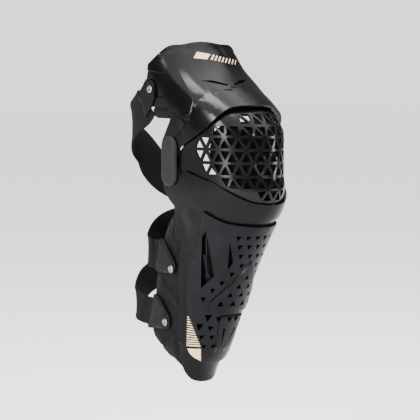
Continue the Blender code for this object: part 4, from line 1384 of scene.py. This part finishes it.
def make_stage():
    """Pale floor, white room light, two soft boxes and the camera."""
    mesh = bpy.data.meshes.new("floor")
    bm = bmesh.new()
    bmesh.ops.create_grid(bm, x_segments=8, y_segments=8, size=12)
    bm.to_mesh(mesh)
    bm.free()
    floor = bpy.data.objects.new("floor", mesh)
    floor.location.z = FLOOR_HEIGHT
    bpy.context.scene.collection.objects.link(floor)
    material, tree, shader, where = new_finish("pale_floor", (0.93, 0.93, 0.93), 0.9)
    tree.links.new(add_shades(tree, add_noise(tree, where, 3), (0.93, 0.93, 0.93), 0.99, 1.0),
                   shader.inputs["Base Color"])
    mesh.materials.append(material)
    world = bpy.data.worlds.new("room")
    world.use_nodes = True
    world.node_tree.nodes["Background"].inputs["Color"].default_value = (1, 1, 1, 1)
    tree = world.node_tree
    path = tree.nodes.new("ShaderNodeLightPath")
    tree.links.new(add_range(tree, path.outputs["Is Camera Ray"], ROOM_LIGHT, BACKDROP_LIGHT, (0, 1)),
                   tree.nodes["Background"].inputs["Strength"])
    bpy.context.scene.world = world
    for name, place, size, power in SOFT_BOXES:
        light = bpy.data.lights.new(name, "AREA")
        light.shape = "RECTANGLE"
        light.size, light.size_y = size
        light.energy = power
        lamp = bpy.data.objects.new(name, light)
        lamp.location = place
        lamp.rotation_euler = (Vector(place) - Vector((0, 0, -0.06))).to_track_quat("Z", "Y").to_euler()
        bpy.context.scene.collection.objects.link(lamp)
    light = bpy.data.lights.new("daylight", "SUN")
    light.energy = DAYLIGHT
    light.angle = math.radians(90)
    lamp = bpy.data.objects.new("daylight", light)
    bpy.context.scene.collection.objects.link(lamp)
    azimuth, elevation = math.radians(CAMERA_AZIMUTH), math.radians(CAMERA_ELEVATION)
    towards = Vector((math.sin(azimuth) * math.cos(elevation), -math.cos(azimuth) * math.cos(elevation),
                      math.sin(elevation)))
    right = Vector((math.cos(azimuth), math.sin(azimuth), 0))
    upward = towards.cross(right)
    centre = right * ((PICTURE_SIDE / 2 - KNEE_PIXEL[0]) * METRES_PER_PIXEL) \
        - upward * ((PICTURE_SIDE / 2 - KNEE_PIXEL[1]) * METRES_PER_PIXEL)
    camera = bpy.data.cameras.new("camera")
    camera.sensor_width = 36
    camera.lens = 36 * CAMERA_DISTANCE / (PICTURE_SIDE * METRES_PER_PIXEL)
    holder = bpy.data.objects.new("camera", camera)
    holder.location = centre + towards * CAMERA_DISTANCE
    holder.rotation_euler = towards.to_track_quat("Z", "Y").to_euler()
    bpy.context.scene.collection.objects.link(holder)
    bpy.context.scene.camera = holder


class GUARD_OT_thigh_cuff(bpy.types.Operator):
    """Lay the hard cuff with its lip, pocket, creases and slits."""
    bl_idname = "guard.thigh_cuff"
    bl_label = "Thigh cuff"

    def execute(self, context):
        make_thigh_cuff()
        return {"FINISHED"}


class GUARD_OT_thigh_padding(bpy.types.Operator):
    """Lay the knitted padding under the cuff."""
    bl_idname = "guard.thigh_padding"
    bl_label = "Thigh padding"

    def execute(self, context):
        make_thigh_padding()
        return {"FINISHED"}


class GUARD_OT_knee_lattice(bpy.types.Operator):
    """Lay the pierced knee cup."""
    bl_idname = "guard.knee_lattice"
    bl_label = "Knee lattice"

    def execute(self, context):
        make_knee_lattice()
        return {"FINISHED"}


class GUARD_OT_knee_padding(bpy.types.Operator):
    """Lay the lining behind the lattice."""
    bl_idname = "guard.knee_padding"
    bl_label = "Knee padding"

    def execute(self, context):
        make_knee_padding()
        return {"FINISHED"}


class GUARD_OT_shin_collar(bpy.types.Operator):
    """Lay the collar with its arms, side rails and tip."""
    bl_idname = "guard.shin_collar"
    bl_label = "Shin collar and rails"

    def execute(self, context):
        make_shin_collar()
        return {"FINISHED"}


class GUARD_OT_shin_shield(bpy.types.Operator):
    """Lay the pierced shin plate with its panels and window ribs."""
    bl_idname = "guard.shin_shield"
    bl_label = "Shin shield"

    def execute(self, context):
        make_shin_shield()
        return {"FINISHED"}


class GUARD_OT_shin_padding(bpy.types.Operator):
    """Lay the quilted padding behind the shin plate."""
    bl_idname = "guard.shin_padding"
    bl_label = "Shin padding"

    def execute(self, context):
        make_shin_padding()
        return {"FINISHED"}


class GUARD_OT_hinges(bpy.types.Operator):
    """Build the side covers, the black rings behind them as painted shadow of the gap round each cover, and
    the pivot rings.
    """
    bl_idname = "guard.hinges"
    bl_label = "Hinges"

    def execute(self, context):
        make_hinges()
        return {"FINISHED"}


class GUARD_OT_straps(bpy.types.Operator):
    """Build the elastic straps, hook tabs and rivets."""
    bl_idname = "guard.straps"
    bl_label = "Straps"

    def execute(self, context):
        make_straps()
        return {"FINISHED"}


class GUARD_OT_prints(bpy.types.Operator):
    """Lay the plain printed block and stripes."""
    bl_idname = "guard.prints"
    bl_label = "Prints"

    def execute(self, context):
        make_prints()
        return {"FINISHED"}


class GUARD_OT_stage(bpy.types.Operator):
    """Set the floor, the lights and the camera."""
    bl_idname = "guard.stage"
    bl_label = "Stage"

    def execute(self, context):
        make_stage()
        return {"FINISHED"}


class GUARD_PT_pieces(bpy.types.Panel):
    """Sizes, colours and pieces of the guard."""
    bl_label = "Knee and shin guard"
    bl_space_type = "VIEW_3D"
    bl_region_type = "UI"
    bl_category = "Guard"

    def draw(self, context):
        scene = context.scene
        for group, kind in ((scene.guard_sizes, GuardSizes), (scene.guard_colours, GuardColours)):
            for name in kind.__annotations__:
                self.layout.prop(group, name)
        for piece in PIECES:
            self.layout.operator(piece.bl_idname)


PIECES = (
    GUARD_OT_thigh_cuff,
    GUARD_OT_thigh_padding,
    GUARD_OT_knee_lattice,
    GUARD_OT_knee_padding,
    GUARD_OT_shin_collar,
    GUARD_OT_shin_shield,
    GUARD_OT_shin_padding,
    GUARD_OT_hinges,
    GUARD_OT_straps,
    GUARD_OT_prints,
    GUARD_OT_stage,
)
CLASSES = (GuardSizes, GuardColours) + PIECES + (GUARD_PT_pieces,)


def register():
    for kind in CLASSES:
        bpy.utils.register_class(kind)
    bpy.types.Scene.guard_sizes = bpy.props.PointerProperty(type=GuardSizes)
    bpy.types.Scene.guard_colours = bpy.props.PointerProperty(type=GuardColours)


def unregister():
    del bpy.types.Scene.guard_colours
    del bpy.types.Scene.guard_sizes
    for kind in reversed(CLASSES):
        bpy.utils.unregister_class(kind)


def main():
    register()
    bpy.ops.guard.stage()
    bpy.ops.guard.thigh_cuff()
    bpy.ops.guard.thigh_padding()
    bpy.ops.guard.knee_lattice()
    bpy.ops.guard.knee_padding()
    bpy.ops.guard.shin_collar()
    bpy.ops.guard.shin_shield()
    bpy.ops.guard.shin_padding()
    bpy.ops.guard.hinges()
    bpy.ops.guard.straps()
    bpy.ops.guard.prints()


if __name__ == "__main__":
    main()
